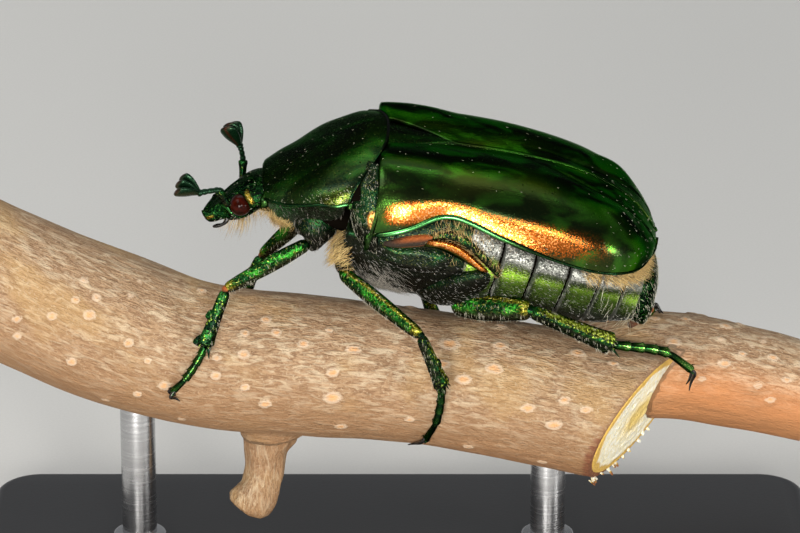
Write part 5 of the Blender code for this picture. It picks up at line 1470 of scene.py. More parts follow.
@dataclass(frozen=True)
class Branch:
    """The perch: the sawn stub, the fork behind it and the dead side twig, with fibres and pores."""

    axis: Track = Track(((-19.5, 0.0, 0.6, 3.15), (-15.0, 0.0, -1.7, 3.2), (-12.7, 0.0, -2.7, 3.25),
                         (-9.0, 0.0, -3.95, 3.1), (-4.0, 0.0, -4.55, 3.05), (0.0, 0.0, -4.95, 2.9),
                         (4.0, 0.0, -5.55, 2.95), (8.0, 0.0, -6.4, 3.05), (14.0, 0.0, -7.7, 3.1)))
    fork: Track = Track(((4.5, 0.6, -5.7, 2.0), (8.0, 1.9, -5.5, 2.25), (12.0, 2.7, -5.72, 2.3),
                         (15.0, 2.95, -6.4, 2.25), (19.0, 3.0, -7.45, 2.1)))
    twig: tuple[tuple[float, ...], ...] = ((-5.3, 0.0, -5.6, 2.2, 1.8), (-5.55, -0.05, -7.2, 1.5, 1.3),
                                           (-5.75, -0.1, -8.2, 1.08, 1.02), (-5.8, -0.2, -9.2, 0.84, 0.84),
                                           (-6.05, -0.3, -10.2, 0.88, 0.86), (-6.45, -0.3, -10.85, 1.02, 0.95),
                                           (-6.6, -0.3, -11.15, 0.9, 0.85))
    cut_point: Triple = (10.2, 0.0, -6.85)
    cut_normal: Triple = (0.79, -0.46, -0.405)
    ends: float = 17.4
    voxel: float = 0.15
    rim: float = 0.16
    pores: tuple[Triple, ...] = (
        (40, 245, 7), (68, 249, 6), (82, 282, 7), (133, 275, 6), (136, 284, 6), (75, 300, 6), (52, 316, 7),
        (89, 315, 8), (128, 298, 7), (17, 319, 6), (17, 335, 6), (128, 343, 7), (71, 361, 7), (147, 361, 5),
        (163, 386, 8), (136, 394, 6), (103, 399, 6), (179, 419, 6), (243, 355, 8), (215, 376, 7), (244, 388, 6),
        (264, 405, 8), (265, 321, 7), (216, 358, 6), (351, 350, 6), (332, 373, 7), (332, 398, 10), (450, 345, 10),
        (494, 369, 8), (464, 380, 8), (529, 409, 7), (555, 426, 8), (566, 401, 6), (588, 411, 6), (410, 420, 5),
        (340, 428, 7), (470, 447, 6), (545, 463, 5))
    fork_pores: tuple[Triple, ...] = (
        (728, 342, 5), (731, 366, 7), (750, 357, 5), (782, 361, 6), (796, 383, 5), (766, 389, 5), (773, 342, 4),
        (749, 328, 5), (790, 336, 4), (708, 381, 5), (780, 403, 5))
    hidden_pores: int = 90
    seed: int = 7

    def settled(self, point: Array, clearance: float, share: float) -> Array:
        """A point drawn a share of the way to where it clears the bark by a distance.

        Args:
            point: The point, above the floor.
            clearance: Its distance from the bark.
            share: How far it is drawn there.

        Returns:
            The new point.
        """
        near = None
        for track in (self.axis, self.fork):
            y, z, radius = track.at(point[0])[0]
            centre = np.array((point[0], y, z + DATUM))
            gap = np.linalg.norm(point - centre) - radius
            inside = track is self.axis or point[0] > self.cut_point[0]
            if inside and (near is None or gap < near[0]):
                near = (gap, centre, radius)
        _, centre, radius = near
        return lerp(point, centre + unit(point - centre) * (radius + clearance), share)

    @staticmethod
    def pipe(track: Track, span: tuple[float, float]) -> Track:
        """A track of shares along a stretch of an axis that is given by x."""
        rows = []
        for x in np.linspace(*span, 24):
            y, z, radius = track.at(x)[0]
            rows.append((x, y, z + DATUM, radius, radius))
        return Track.through(rows)

    def sighted(self, track: Track, pixel: tuple[float, float]) -> Array:
        """The point on the near side of a tube that shows at a pixel of the photograph."""
        toward = np.array((0.0, -math.cos(VIEW_TILT), math.sin(VIEW_TILT)))
        up = np.array((0.0, math.sin(VIEW_TILT), math.cos(VIEW_TILT)))
        stand_off, rim = 2.5, 0.97
        nearer = 1.0 - stand_off / VIEW_DISTANCE
        x = (pixel[0] - PICTURE_CENTRE[0]) / SCALE * nearer
        height = (PICTURE_CENTRE[1] - pixel[1]) / SCALE * nearer
        y, z, radius = track.at(x)[0]
        centre = np.array((x, y, z))
        rise = np.clip(height - centre @ up, -rim * radius, rim * radius)
        point = centre + up * rise + toward * math.sqrt(radius ** 2 - rise ** 2)
        return point + (0.0, 0.0, DATUM)

    def lanes(self, points: Array) -> tuple[Array, Array]:
        """Each point's place along and across its own stretch of branch, and whether it lies on the fork."""
        rows = []
        for track in (self.axis, self.fork):
            y, z, radius = track.at(points[:, 0]).T
            slope = np.arctan(track.at(points[:, 0] + 0.1)[:, 1] - z) * 0.98
            dy, dz = points[:, 1] - y, points[:, 2] - DATUM - z
            rows.append((np.column_stack([points[:, 0], dy, dz * np.cos(slope)]), np.hypot(dy, dz) - radius))
        past_cut = (points - above(self.cut_point)) @ unit(np.array(self.cut_normal)) > 0.14
        on_fork = past_cut | (rows[1][1] < rows[0][1]) & (points[:, 0] > 4.8)
        lane = lerp(rows[0][0], rows[1][0], (on_fork * ease(points[:, 0], 4.8, 9.5))[:, None])
        twig = (points[:, 2] < DATUM - 7.75) & (np.abs(points[:, 0] + 6.0) < 2.2)
        down = np.column_stack([points[:, 2], points[:, 0] + 5.9, points[:, 1]])
        return np.where(twig[:, None], down, lane), on_fork.astype(float)

    def scattered(self, rng: np.random.Generator) -> list[tuple[Array, float]]:
        """Pores on the bark that the photograph doesn't show."""
        found = []
        for _ in range(self.hidden_pores):
            x, angle, size = rng.uniform(-17.0, 17.0), rng.uniform(-0.2, 1.15) * math.pi, rng.uniform(0.2, 0.34)
            track = self.fork if x > 10.5 else self.axis
            y, z, radius = track.at(x)[0]
            found.append((np.array((x, y + radius * math.sin(angle + 0.5), z + DATUM - radius * math.cos(angle + 0.5))),
                          size))
        return found

    def build(self, shop: Workshop) -> None:
        """Makes the bark, the sawn face, the splinters round it and the two end faces."""
        stub = limb(self.pipe(self.axis, (-19.4, 13.9)), (0.0, 0.0, 1.0), columns=72, rows=120, rounding=0.001)
        normal = Vector(self.cut_normal)
        bmesh.ops.bisect_plane(stub, geom=[*stub.verts, *stub.edges, *stub.faces], plane_co=above(self.cut_point),
                               plane_no=normal, clear_outer=True)
        bmesh.ops.holes_fill(stub, edges=[edge for edge in stub.edges if edge.is_boundary], sides=0)
        fork = limb(self.pipe(self.fork, (4.6, 18.9)), (0.0, 0.0, 1.0), columns=56, rows=60, rounding=0.03)
        twig = limb(Track.through([(x, y, z + DATUM, wide, deep) for x, y, z, wide, deep in self.twig]),
                    (0.0, 1.0, 0.0), columns=40, rows=50, rounding=0.04)
        data = self.fused(merged([stub, fork, twig]))
        self.carve(data)
        bark = bmesh.new()
        bark.from_mesh(data)
        bpy.data.meshes.remove(data)
        for end in (-1.0, 1.0):
            cut = bmesh.ops.bisect_plane(bark, geom=[*bark.verts, *bark.edges, *bark.faces],
                                         plane_co=(end * self.ends, 0.0, 0.0), plane_no=(end, 0.0, 0.0),
                                         clear_outer=True)
            bmesh.ops.holes_fill(bark, edges=[item for item in cut["geom_cut"]
                                              if isinstance(item, BMEdge)], sides=0)
        made = shop.add("branch_bark", bark, BARK, Slot.BARK, ["branch"])
        self.write_lanes(made)
        self.build_face(shop, self.axis, self.cut_point, self.cut_normal, STUB_WOOD, "sawn_face")
        self.build_splinters(shop)
        for end, track, finish, name in ((-1.0, self.axis, END_WOOD, "end_face_left"),
                                         (1.0, self.fork, FORK_WOOD, "end_face_right")):
            y, z, _ = track.at(end * self.ends)[0]
            self.build_face(shop, track, (end * self.ends, y, z), (end, 0.0, 0.0), finish, name)

    def fused(self, mesh: BMesh) -> Mesh:
        """Grows the pieces of wood together into one skin."""
        data = bpy.data.meshes.new("rough_branch")
        mesh.to_mesh(data)
        mesh.free()
        rough = bpy.data.objects.new("rough_branch", data)
        bpy.context.scene.collection.objects.link(rough)
        step = rough.modifiers.new("skin", "REMESH")
        step.mode = "VOXEL"
        step.voxel_size = self.voxel
        bpy.context.view_layer.update()
        skin = bpy.data.meshes.new_from_object(rough.evaluated_get(bpy.context.evaluated_depsgraph_get()))
        bpy.data.objects.remove(rough, do_unlink=True)
        bpy.data.meshes.remove(data)
        smooth = bmesh.new()
        smooth.from_mesh(skin)
        for _ in range(4):
            bmesh.ops.smooth_vert(smooth, verts=smooth.verts, factor=0.5, use_axis_x=True, use_axis_y=True,
                                  use_axis_z=True)
        smooth.to_mesh(skin)
        smooth.free()
        return skin

    def carve(self, data: Mesh) -> None:
        """Gives the bark its lumps, fibres and pores, and flattens the sawn face."""
        count = len(data.vertices)
        points, normals = np.empty(count * 3), np.empty(count * 3)
        data.vertices.foreach_get("co", points)
        data.vertex_normals.foreach_get("vector", normals)
        points, normals = points.reshape(-1, 3), normals.reshape(-1, 3)
        lanes, _ = self.lanes(points)
        lift = np.zeros(count)
        for size, height, stretch in ((2.6, 0.1, 0.5), (0.7, 0.035, 0.3), (0.32, 0.03, 0.12)):
            spots = lanes * (stretch, 1.0, 1.0) / size
            lift += height * np.array([noise.noise(spot) for spot in spots.tolist()])
        below = ease(-(points[:, 2] - DATUM), 7.4, 8.2) * (np.abs(points[:, 0] + 6.0) < 2.4)
        ribs = np.array([noise.noise(spot) for spot in (lanes * (0.25, 1.0, 1.0) / 0.4).tolist()])
        lift += below * 0.1 * ribs
        seat = above(self.cut_point)
        normal = np.array(self.cut_normal) / np.linalg.norm(self.cut_normal)
        depth = (points - seat) @ normal
        facing = (normals @ normal > 0.75) & (np.abs(depth) < 0.5) & (points[:, 0] > 7.0)
        lift[facing] = 0.0
        points = points + normals * lift[:, None]
        points[facing] -= np.outer(depth[facing], normal)
        pore = self.pore_field(points)
        pore[facing] = 0.0
        points += normals * (0.07 * ease(pore, 0.05, 0.5) - 0.05 * ease(pore, 0.8, 1.0))[:, None]
        data.vertices.foreach_set("co", points.ravel())
        data.attributes.new(TINT, "FLOAT", "POINT").data.foreach_set("value", pore)

    def pore_field(self, points: Array) -> Array:
        """How close each point lies to the middle of a pore, from 0 outside to 1."""
        spots = [(self.sighted(self.axis, pixel), size / SCALE) for *pixel, size in self.pores]
        spots += [(self.sighted(self.fork, pixel), size / SCALE) for *pixel, size in self.fork_pores]
        spots += self.scattered(np.random.default_rng(self.seed))
        field = np.zeros(len(points))
        for centre, radius in spots:
            stretch = lerp(1.05, 1.45, ease(centre[0], -8.0, 2.0))
            offset = (points - centre) / (radius * stretch, radius * 0.85, radius * 0.85)
            field = np.maximum(field, clamp(1.15 - np.linalg.norm(offset, axis=1)))
        return field

    def write_lanes(self, made: Object) -> None:
        """Stores the lanes that the wood's grain follows, and the fork's ruddy flush."""
        data = made.data
        points = np.empty(len(data.vertices) * 3)
        data.vertices.foreach_get("co", points)
        points = points.reshape(-1, 3) / MM
        lanes, on_fork = self.lanes(points)
        data.attributes.new(GRAIN, "FLOAT_VECTOR", "POINT").data.foreach_set("vector", (lanes * MM).ravel())
        low = ease(-lanes[:, 2], -2.0, 1.2) * on_fork * ease(points[:, 0], 8.0, 12.5)
        low = np.maximum(low, 0.35 * ease(-lanes[:, 2], 1.2, 2.8) * ease(points[:, 0], -2.0, 4.0))
        data.attributes.new("flush", "FLOAT", "POINT").data.foreach_set("value", low)
        # A band along the sawn face, stronger towards the bottom, which the bark paints darker red-brown.
        depth = (points - above(self.cut_point)) @ unit(np.array(self.cut_normal))
        cut_band = ease(depth, -0.55, -0.05) * (1.0 - on_fork) * (0.6 + 0.4 * ease(-lanes[:, 2], -1.0, 2.0))
        data.attributes.new("cut_band", "FLOAT", "POINT").data.foreach_set("value", cut_band)

    def build_face(self, shop: Workshop, track: Track, point: Sequence[float], normal: Sequence[float],
                   finish: Finish, name: str) -> None:
        """Makes a sawn face: a disc of rough fibres that stops just inside the bark."""
        seat, facing = above(point), np.array(normal) / np.linalg.norm(normal)

        def outline(turn: Array) -> Array:
            """The points where the tube meets the plane."""
            angle = turn * math.tau
            x = np.full_like(angle, point[0])
            for _ in range(40):
                y, z, radius = track.at(x).T
                radius = radius - self.rim
                rim = np.column_stack([x, y + radius * np.cos(angle), z + DATUM + radius * np.sin(angle)])
                x = x - 0.6 * ((rim - seat) @ facing) / facing[0]
            return rim

        def place(turn: Array, share: Array) -> Array:
            """Sets the points of the disc from its middle to its rim."""
            centre = outline(turn).mean(axis=0)
            flat = lerp(centre, outline(turn), share[:, None])
            rough = np.array([noise.noise(spot) for spot in (flat * (1.0, 1.0, 0.4) / 0.3).tolist()])
            lift = 0.05 + 0.05 * rough * (1.0 - share ** 6) - 0.16 * ease(share, 0.97, 1.0)
            return flat + np.outer(lift, facing)

        disc = sheet(96, 36, place, closed=False)
        bmesh.ops.remove_doubles(disc, verts=disc.verts, dist=0.01)
        made = shop.add(name, outwards(disc, seat - facing * 5.0), finish, Slot.BARK, wall=0.1)
        self.write_lanes(made)

    def build_splinters(self, shop: Workshop) -> None:
        """Makes the torn fibres at the lower and right edges of the sawn face."""
        rng = np.random.default_rng(self.seed)
        normal = np.array(self.cut_normal) / np.linalg.norm(self.cut_normal)
        y, z, radius = self.axis.at(self.cut_point[0])[0]
        parts = []
        for _ in range(34):
            angle = rng.uniform(-0.62, 0.35) * math.pi
            out = np.array((0.0, math.cos(angle), math.sin(angle)))
            root = np.array((self.cut_point[0], y, z + DATUM)) + out * (radius - rng.uniform(0.1, 0.5))
            root = root - np.array((1.0, 0.0, 0.0)) * ((root - above(self.cut_point)) @ normal) / normal[0]
            length = rng.uniform(0.12, 0.34)
            lean = unit(normal * 0.9 + out * rng.uniform(0.0, 0.7) + rng.normal(0.0, 0.25, 3))
            width = rng.uniform(0.05, 0.12)
            track = Track.through([(*(root - lean * 0.15), width, width * 0.5), (*(root + lean * length * 0.6), width,
                                                                                width * 0.4),
                                   (*(root + lean * length), width * 0.4, width * 0.2)])
            parts.append(limb(track, out, columns=8, rows=6, rounding=0.1))
        made = shop.add("splinters", merged(parts), SPLINTER_WOOD, Slot.BARK)
        self.write_lanes(made)


@dataclass(frozen=True)
class Stand:
    """A flat base and two steel rods, each with a collar, up into the underside of the branch."""

    size: Triple = (36.0, 15.0, 1.6)
    corner: float = 2.0
    edge: float = 0.45
    rod: float = 0.75
    stations: tuple[float, float] = (-11.3, 6.4)

    def build(self, shop: Workshop, branch: Branch) -> None:
        """Makes the stand's pieces."""
        base = bmesh.new()
        bmesh.ops.create_cube(base, size=1.0)
        bmesh.ops.scale(base, vec=self.size, verts=base.verts)
        bmesh.ops.translate(base, vec=(0.0, 0.0, 0.5 * self.size[2]), verts=base.verts)
        upright = [edge for edge in base.edges if abs(edge.verts[0].co.z - edge.verts[1].co.z) > 1.0]
        bmesh.ops.bevel(base, geom=upright, offset=self.corner, segments=12, profile=0.5, affect="EDGES", material=-1)
        top = [edge for edge in base.edges if min(vert.co.z for vert in edge.verts) > self.size[2] - 0.01]
        bmesh.ops.bevel(base, geom=top, offset=self.edge, segments=5, profile=0.5, affect="EDGES", material=-1)
        plate = shop.add("stand_plate", base, BLACK, Slot.BASE, ["stand_base"])
        plate.data.set_sharp_from_angle(angle=math.radians(40.0))
        for station, word in zip(self.stations, ("left", "right")):
            _, height, radius = branch.axis.at(station)[0]
            top = DATUM + height - radius + 0.3
            parts = [self.turned(station, 0.0, top, self.rod, 0.05), self.turned(station, self.size[2] - 0.1,
                                                                                self.size[2] + 0.5, 1.15, 0.12)]
            made = shop.add(f"stand_post_{word}", merged(parts), STEEL, Slot.ROD, [f"stand_rod_{word}"])
            made.data.set_sharp_from_angle(angle=math.radians(40.0))

    @staticmethod
    def turned(x: float, low: float, high: float, radius: float, edge: float) -> BMesh:
        """A round bar between two heights with its rims bevelled."""
        bar = bmesh.new()
        bmesh.ops.create_cone(bar, cap_ends=True, segments=48, radius1=radius, radius2=radius, depth=high - low)
        rims = [item for item in bar.edges if abs(item.verts[0].co.z - item.verts[1].co.z) < 0.01]
        bmesh.ops.bevel(bar, geom=rims, offset=edge, segments=3, profile=0.5, affect="EDGES", material=-1)
        bmesh.ops.translate(bar, vec=(x, 0.0, 0.5 * (low + high)), verts=bar.verts)
        return bar


@dataclass(frozen=True)
class Coat:
    """Many small solid hairs over one or more skins."""

    name: str
    finish: Finish
    slot: Slot
    count: int
    length: tuple[float, float]
    width: float
    lie: Triple
    lift: float
    droop: float = 0.0
    spread: float = 0.25
    seed: int = 1

    def grow(self, shop: Workshop, skins: Sequence[tuple[Object, Mask | None]]) -> None:
        """Roots the hairs on the skins.

        Args:
            shop: Files the piece.
            skins: Each skin with a mask, which gives how thick the hair stands from the points in millimetres, the
                normals and the shares of its surface.
        """
        rng = np.random.default_rng(self.seed)
        grounds = [self.ground(skin, mask) for skin, mask in skins]
        total = sum(ground[0].sum() for ground in grounds)
        parts = []
        for index, (weights, corners, normals, shares) in enumerate(grounds):
            number = int(round(self.count * weights.sum() / total))
            if not number:
                continue
            chosen = rng.choice(len(weights), size=number, p=weights / weights.sum())
            first, second = rng.random((2, number))
            over = first + second > 1.0
            first, second = np.where(over, 1.0 - first, first), np.where(over, 1.0 - second, second)
            blend = np.column_stack([1.0 - first - second, first, second])[:, :, None]
            root = (corners[chosen] * blend).sum(axis=1)
            share = (shares[chosen] * blend).sum(axis=1)
            share[:, 0] = (index + 0.02 + 0.96 * share[:, 0]) / len(grounds)
            parts.append((root, normals[chosen], share))
        root, normal, share = (np.concatenate(column) for column in zip(*parts))
        shop.file(self.name, self.hairs(rng, root, normal, share), self.finish)

    def ground(self, skin: Object, mask: Mask | None) -> tuple[Array, Array, Array, Array]:
        """A skin's triangles: how likely each carries a hair, its corners, its normal and its shares."""
        data = skin.data
        data.calc_loop_triangles()
        count = len(data.loop_triangles)
        corners, loops = np.empty(count * 3, int), np.empty(count * 3, int)
        data.loop_triangles.foreach_get("vertices", corners)
        data.loop_triangles.foreach_get("loops", loops)
        points = np.empty(len(data.vertices) * 3)
        data.vertices.foreach_get("co", points)
        shares = np.empty(len(data.loops) * 2)
        data.uv_layers[SURFACE].data.foreach_get("uv", shares)
        corners = (points.reshape(-1, 3) / MM)[corners].reshape(count, 3, 3)
        shares = shares.reshape(-1, 2)[loops].reshape(count, 3, 2)
        normal = np.cross(corners[:, 1] - corners[:, 0], corners[:, 2] - corners[:, 0])
        weights = np.linalg.norm(normal, axis=1)
        normal = unit(normal)
        if mask:
            weights = weights * np.clip(mask(corners.mean(axis=1), normal, shares.mean(axis=1)), 0.0, None)
        return weights, corners, normal, shares

    def hairs(self, rng: np.random.Generator, root: Array, normal: Array, share: Array) -> Mesh:
        """Builds every hair as a bent three-sided spike of seven points."""
        number = len(root)
        lie = np.array(self.lie, float) + rng.normal(0.0, self.spread, (number, 3))
        flat = unit(lie - normal * (lie * normal).sum(axis=1, keepdims=True))
        lean = unit(flat * (1.0 - self.lift) + normal * self.lift)
        length = rng.uniform(*self.length, number)[:, None]
        side = unit(np.cross(lean, normal))
        thick = np.cross(side, lean)
        width = self.width * rng.uniform(0.7, 1.2, number)[:, None]
        drop = np.array((0.0, 0.0, -1.0)) * self.droop + flat * (0.5 * self.lift)
        rings = []
        for at, size in ((-0.05, 1.0), (0.5, 0.75)):
            middle = root + lean * length * at + drop * length * at * abs(at)
            for turn in range(3):
                angle = math.tau * turn / 3.0
                rings.append(middle + (side * math.cos(angle) + thick * math.sin(angle)) * width * size * 0.5)
        rings.append(root + lean * length + drop * length)
        points = np.stack(rings, axis=1).reshape(-1, 3) * MM
        loops = np.array([2, 1, 0, 0, 1, 4, 3, 1, 2, 5, 4, 2, 0, 3, 5, 3, 4, 6, 4, 5, 6, 5, 3, 6])
        sizes = np.array([3, 4, 4, 4, 3, 3, 3])
        corners = (np.arange(number)[:, None] * 7 + loops).ravel()
        counts = np.tile(sizes, number)
        data = bpy.data.meshes.new(self.name)
        data.vertices.add(len(points))
        data.vertices.foreach_set("co", points.ravel())
        data.loops.add(len(corners))
        data.loops.foreach_set("vertex_index", corners.astype(np.int32))
        data.polygons.add(len(counts))
        data.polygons.foreach_set("loop_start", np.concatenate([[0], np.cumsum(counts)[:-1]]).astype(np.int32))
        data.update(calc_edges=True)
        patch = np.array([(0, 0), (1, 0), (0.5, 0.2), (0, 0.5), (1, 0.5), (0.5, 0.7), (0.5, 1)]) * BAKE_PATCH
        data.uv_layers.new(name=BAKE).data.foreach_set("uv", (share[:, None, :] + patch[loops]).ravel())
        tint = np.repeat(rng.random(number), 7)
        data.attributes.new(TINT, "FLOAT", "POINT").data.foreach_set("value", tint)
        data.shade_smooth()
        return data


def grow_coats(shop: Workshop, skins: dict[str, object], legs: Sequence[dict[str, Object]]) -> None:
    """Puts hair on the underside, the mouth, the legs and, as short specks, on the polished plates."""
    back, down = (0.8, 0.0, -0.6), (0.25, 0.0, -1.0)

    def under(points: Array, normals: Array, shares: Array) -> Array:
        """More hair the further a surface faces down or sideways."""
        return ease(-normals[:, 2], -0.75, 0.2)

    def breast(points: Array, normals: Array, shares: Array) -> Array:
        """Hair over the lower breast, thicker towards its front."""
        return under(points, normals, shares) * (0.35 + bump(points[:, 0] + 0.9, 1.4))

    plates = [(skins["mesosternum"], breast), (skins["metasternum"], breast), (skins["hip_left"], None),
              (skins["hip_right"], None), (skins["episternum_left"], None), (skins["episternum_right"], None)]
    Coat("breast_flecks", GREY_HAIR, Slot.BELLY, 5000, (0.05, 0.14), 0.013, back, 0.12, 0.0, seed=24).grow(shop, plates)

    def low_breast(points: Array, normals: Array, shares: Array) -> Array:
        """Longer hair along the lower front of the breast."""
        return bump(points[:, 0] + 0.9, 1.5) * ease(-(points[:, 2] - DATUM), -2.2, -0.6)

    Coat("breast_hair", DUN_HAIR, Slot.BELLY, 3200, (0.2, 0.48), 0.014, back, 0.22, 0.1, seed=11).grow(
        shop, [(skins["mesosternum"], low_breast), (skins["metasternum"], low_breast)])

    def rings(points: Array, normals: Array, shares: Array) -> Array:
        """Fine hair over the sides of the belly rings, thinner underneath."""
        return under(points, normals, shares) * (0.25 + 0.75 * bump(normals[:, 2] + 0.1, 0.7))

    Coat("belly_hair", GREY_HAIR, Slot.BELLY, 15000, (0.07, 0.15), 0.012, (0.9, 0.0, -0.5), 0.12, seed=12).grow(
        shop, [(ring, rings) for ring in skins["sternites"]])

    def throat(points: Array, normals: Array, shares: Array) -> Array:
        """Hair at the front and the bottom of the first chest ring."""
        return ease(-points[:, 0], 4.3, 5.2) * ease(-(points[:, 2] - DATUM), -2.9, -2.3)

    Coat("throat_hair", TAN_HAIR, Slot.BELLY, 550, (0.22, 0.55), 0.015, (-0.5, 0.0, -1.0), 0.35, 0.1, seed=13).grow(
        shop, [(skins["prosternum"], throat)])
    Coat("hip_hair", DUN_HAIR, Slot.BELLY, 2600, (0.08, 0.22), 0.014, down, 0.18, 0.05, seed=25).grow(
        shop, [(leg["hip"], None) for leg in legs if "hip" in leg] + [(skins["prosternum"], breast)])

    def neck(points: Array, normals: Array, shares: Array) -> Array:
        """Hair round the lower sides of the neck."""
        return ease(-normals[:, 2], -0.3, 0.5) * ease(np.abs(normals[:, 1]), 0.1, 0.5)

    Coat("neck_hair", TAN_HAIR, Slot.BELLY, 260, (0.2, 0.5), 0.015, (-0.2, 0.0, -1.0), 0.5, 0.1, seed=26).grow(
        shop, [(bpy.data.objects["neck_membrane"], neck)])

    def tuft(points: Array, normals: Array, shares: Array) -> Array:
        """The golden tuft at the front of the middle breast."""
        return ease(-points[:, 0], 1.7, 2.3) * ease(-(points[:, 2] - DATUM), -2.9, -2.1)

    Coat("breast_tuft", TAN_HAIR, Slot.BELLY, 1300, (0.35, 0.7), 0.02, (-0.9, 0.0, -0.35), 0.55, 0.15, seed=14).grow(
        shop, [(skins["mesosternum"], tuft)])

    rim = WingCase(Side.RIGHT, Scutellum()).margin_line()
    rim = np.concatenate([rim, rim * (1.0, -1.0, 1.0)])

    def tail(points: Array, normals: Array, shares: Array) -> Array:
        """The dense fringe just outside the tips of the wing cases."""
        local = in_body(points)
        gap = np.linalg.norm(local[:, None] - rim[None], axis=2).min(axis=1)
        return (1.0 - ease(gap, 0.5, 0.85)) * ease(local[:, 0], 8.6, 9.9)

    Coat("tail_fringe", TAN_HAIR, Slot.BELLY, 4600, (0.24, 0.55), 0.014, (0.6, 0.0, -0.9), 0.36, 0.03, seed=15).grow(
        shop, [(skin, tail) for skin in (*skins["sternites"][-3:], skins["pygidium"])])

    def flank(points: Array, normals: Array, shares: Array) -> Array:
        """The fringe under the hollow of the wing case's margin."""
        return ease(points[:, 0], 1.2, 2.2) * (1.0 - ease(points[:, 0], 4.2, 5.2)) * bump(normals[:, 2] - 0.3, 0.6)

    Coat("flank_fringe", TAN_HAIR, Slot.BELLY, 1100, (0.2, 0.42), 0.018, (0.0, 0.0, 1.0), 0.3, seed=16).grow(
        shop, [(skins["arch_left"], None), (skins["arch_right"], None), (skins["metasternum"], flank)])
    Coat("mouth_hair", TAN_HAIR, Slot.SHELL, 150, (0.3, 0.85), 0.015, (-0.55, 0.0, -1.0), 0.75, 0.2, seed=17).grow(
        shop, [(skins["chin"], lambda points, normals, shares: ease(-normals[:, 2], 0.0, 0.6))])

    def sides(points: Array, normals: Array, shares: Array) -> Array:
        """Specks on the flanks alone."""
        return 0.02 + ease(np.abs(normals[:, 1]), 0.5, 0.95)

    Coat("pronotum_specks", PALE_HAIR, Slot.SHELL, 260, (0.05, 0.1), 0.016, (0.7, 0.0, -0.7), 0.12, seed=18).grow(
        shop, [(skins["pronotum"], sides)])

    def rear(points: Array, normals: Array, shares: Array) -> Array:
        """More specks towards the tail and the lower flank."""
        return 0.05 + ease(shares[:, 1], 0.45, 0.95) + 0.4 * ease(shares[:, 0], 0.6, 0.9)

    Coat("elytra_specks", PALE_HAIR, Slot.SHELL, 420, (0.04, 0.1), 0.014, (0.9, 0.0, -0.3), 0.1, seed=19).grow(
        shop, [(skins["elytron_left"], rear), (skins["elytron_right"], rear)])
    Coat("head_specks", PALE_HAIR, Slot.SHELL, 220, (0.05, 0.12), 0.015, (-0.7, 0.0, -0.6), 0.25, seed=20).grow(
        shop, [(skins["head"], lambda points, normals, shares: 1.0 + 2.0 * ease(-normals[:, 2], -0.2, 0.4))])
    Coat("tail_hair", PALE_HAIR, Slot.SHELL, 900, (0.08, 0.22), 0.014, down, 0.25, seed=21).grow(
        shop, [(skins["pygidium"], None)])
    Coat("shoulder_hair", PALE_HAIR, Slot.BELLY, 700, (0.07, 0.14), 0.013, down, 0.15, seed=22).grow(
        shop, [(skins["epimeron_left"], None), (skins["epimeron_right"], None)])

    def rows(points: Array, normals: Array, shares: Array) -> Array:
        """Bristles in rows along a limb, thicker underneath."""
        return bump(np.mod(shares[:, 0] * 8.0, 1.0) - 0.5, 0.35) * (0.5 + ease(-normals[:, 2], -0.2, 0.6))

    Coat("leg_bristles", PALE_HAIR, Slot.LEG, 1900, (0.08, 0.2), 0.014, (0.2, 0.0, -1.0), 0.4, 0.1, seed=23).grow(
        shop, [(leg[part], rows) for leg in legs for part in ("thigh", "shin")])

    def low_tail(points: Array, normals: Array, shares: Array) -> Array:
        """The lower rear of the last rings."""
        return ease(points[:, 0], 8.0, 8.8) * ease(-normals[:, 2], 0.1, 0.6)

    Coat("tail_setae", PALE_HAIR, Slot.BELLY, 110, (0.35, 0.7), 0.013, (-0.5, 0.0, -1.0), 0.45, 0.15, seed=27).grow(
        shop, [(skin, low_tail) for skin in skins["sternites"][-2:]])


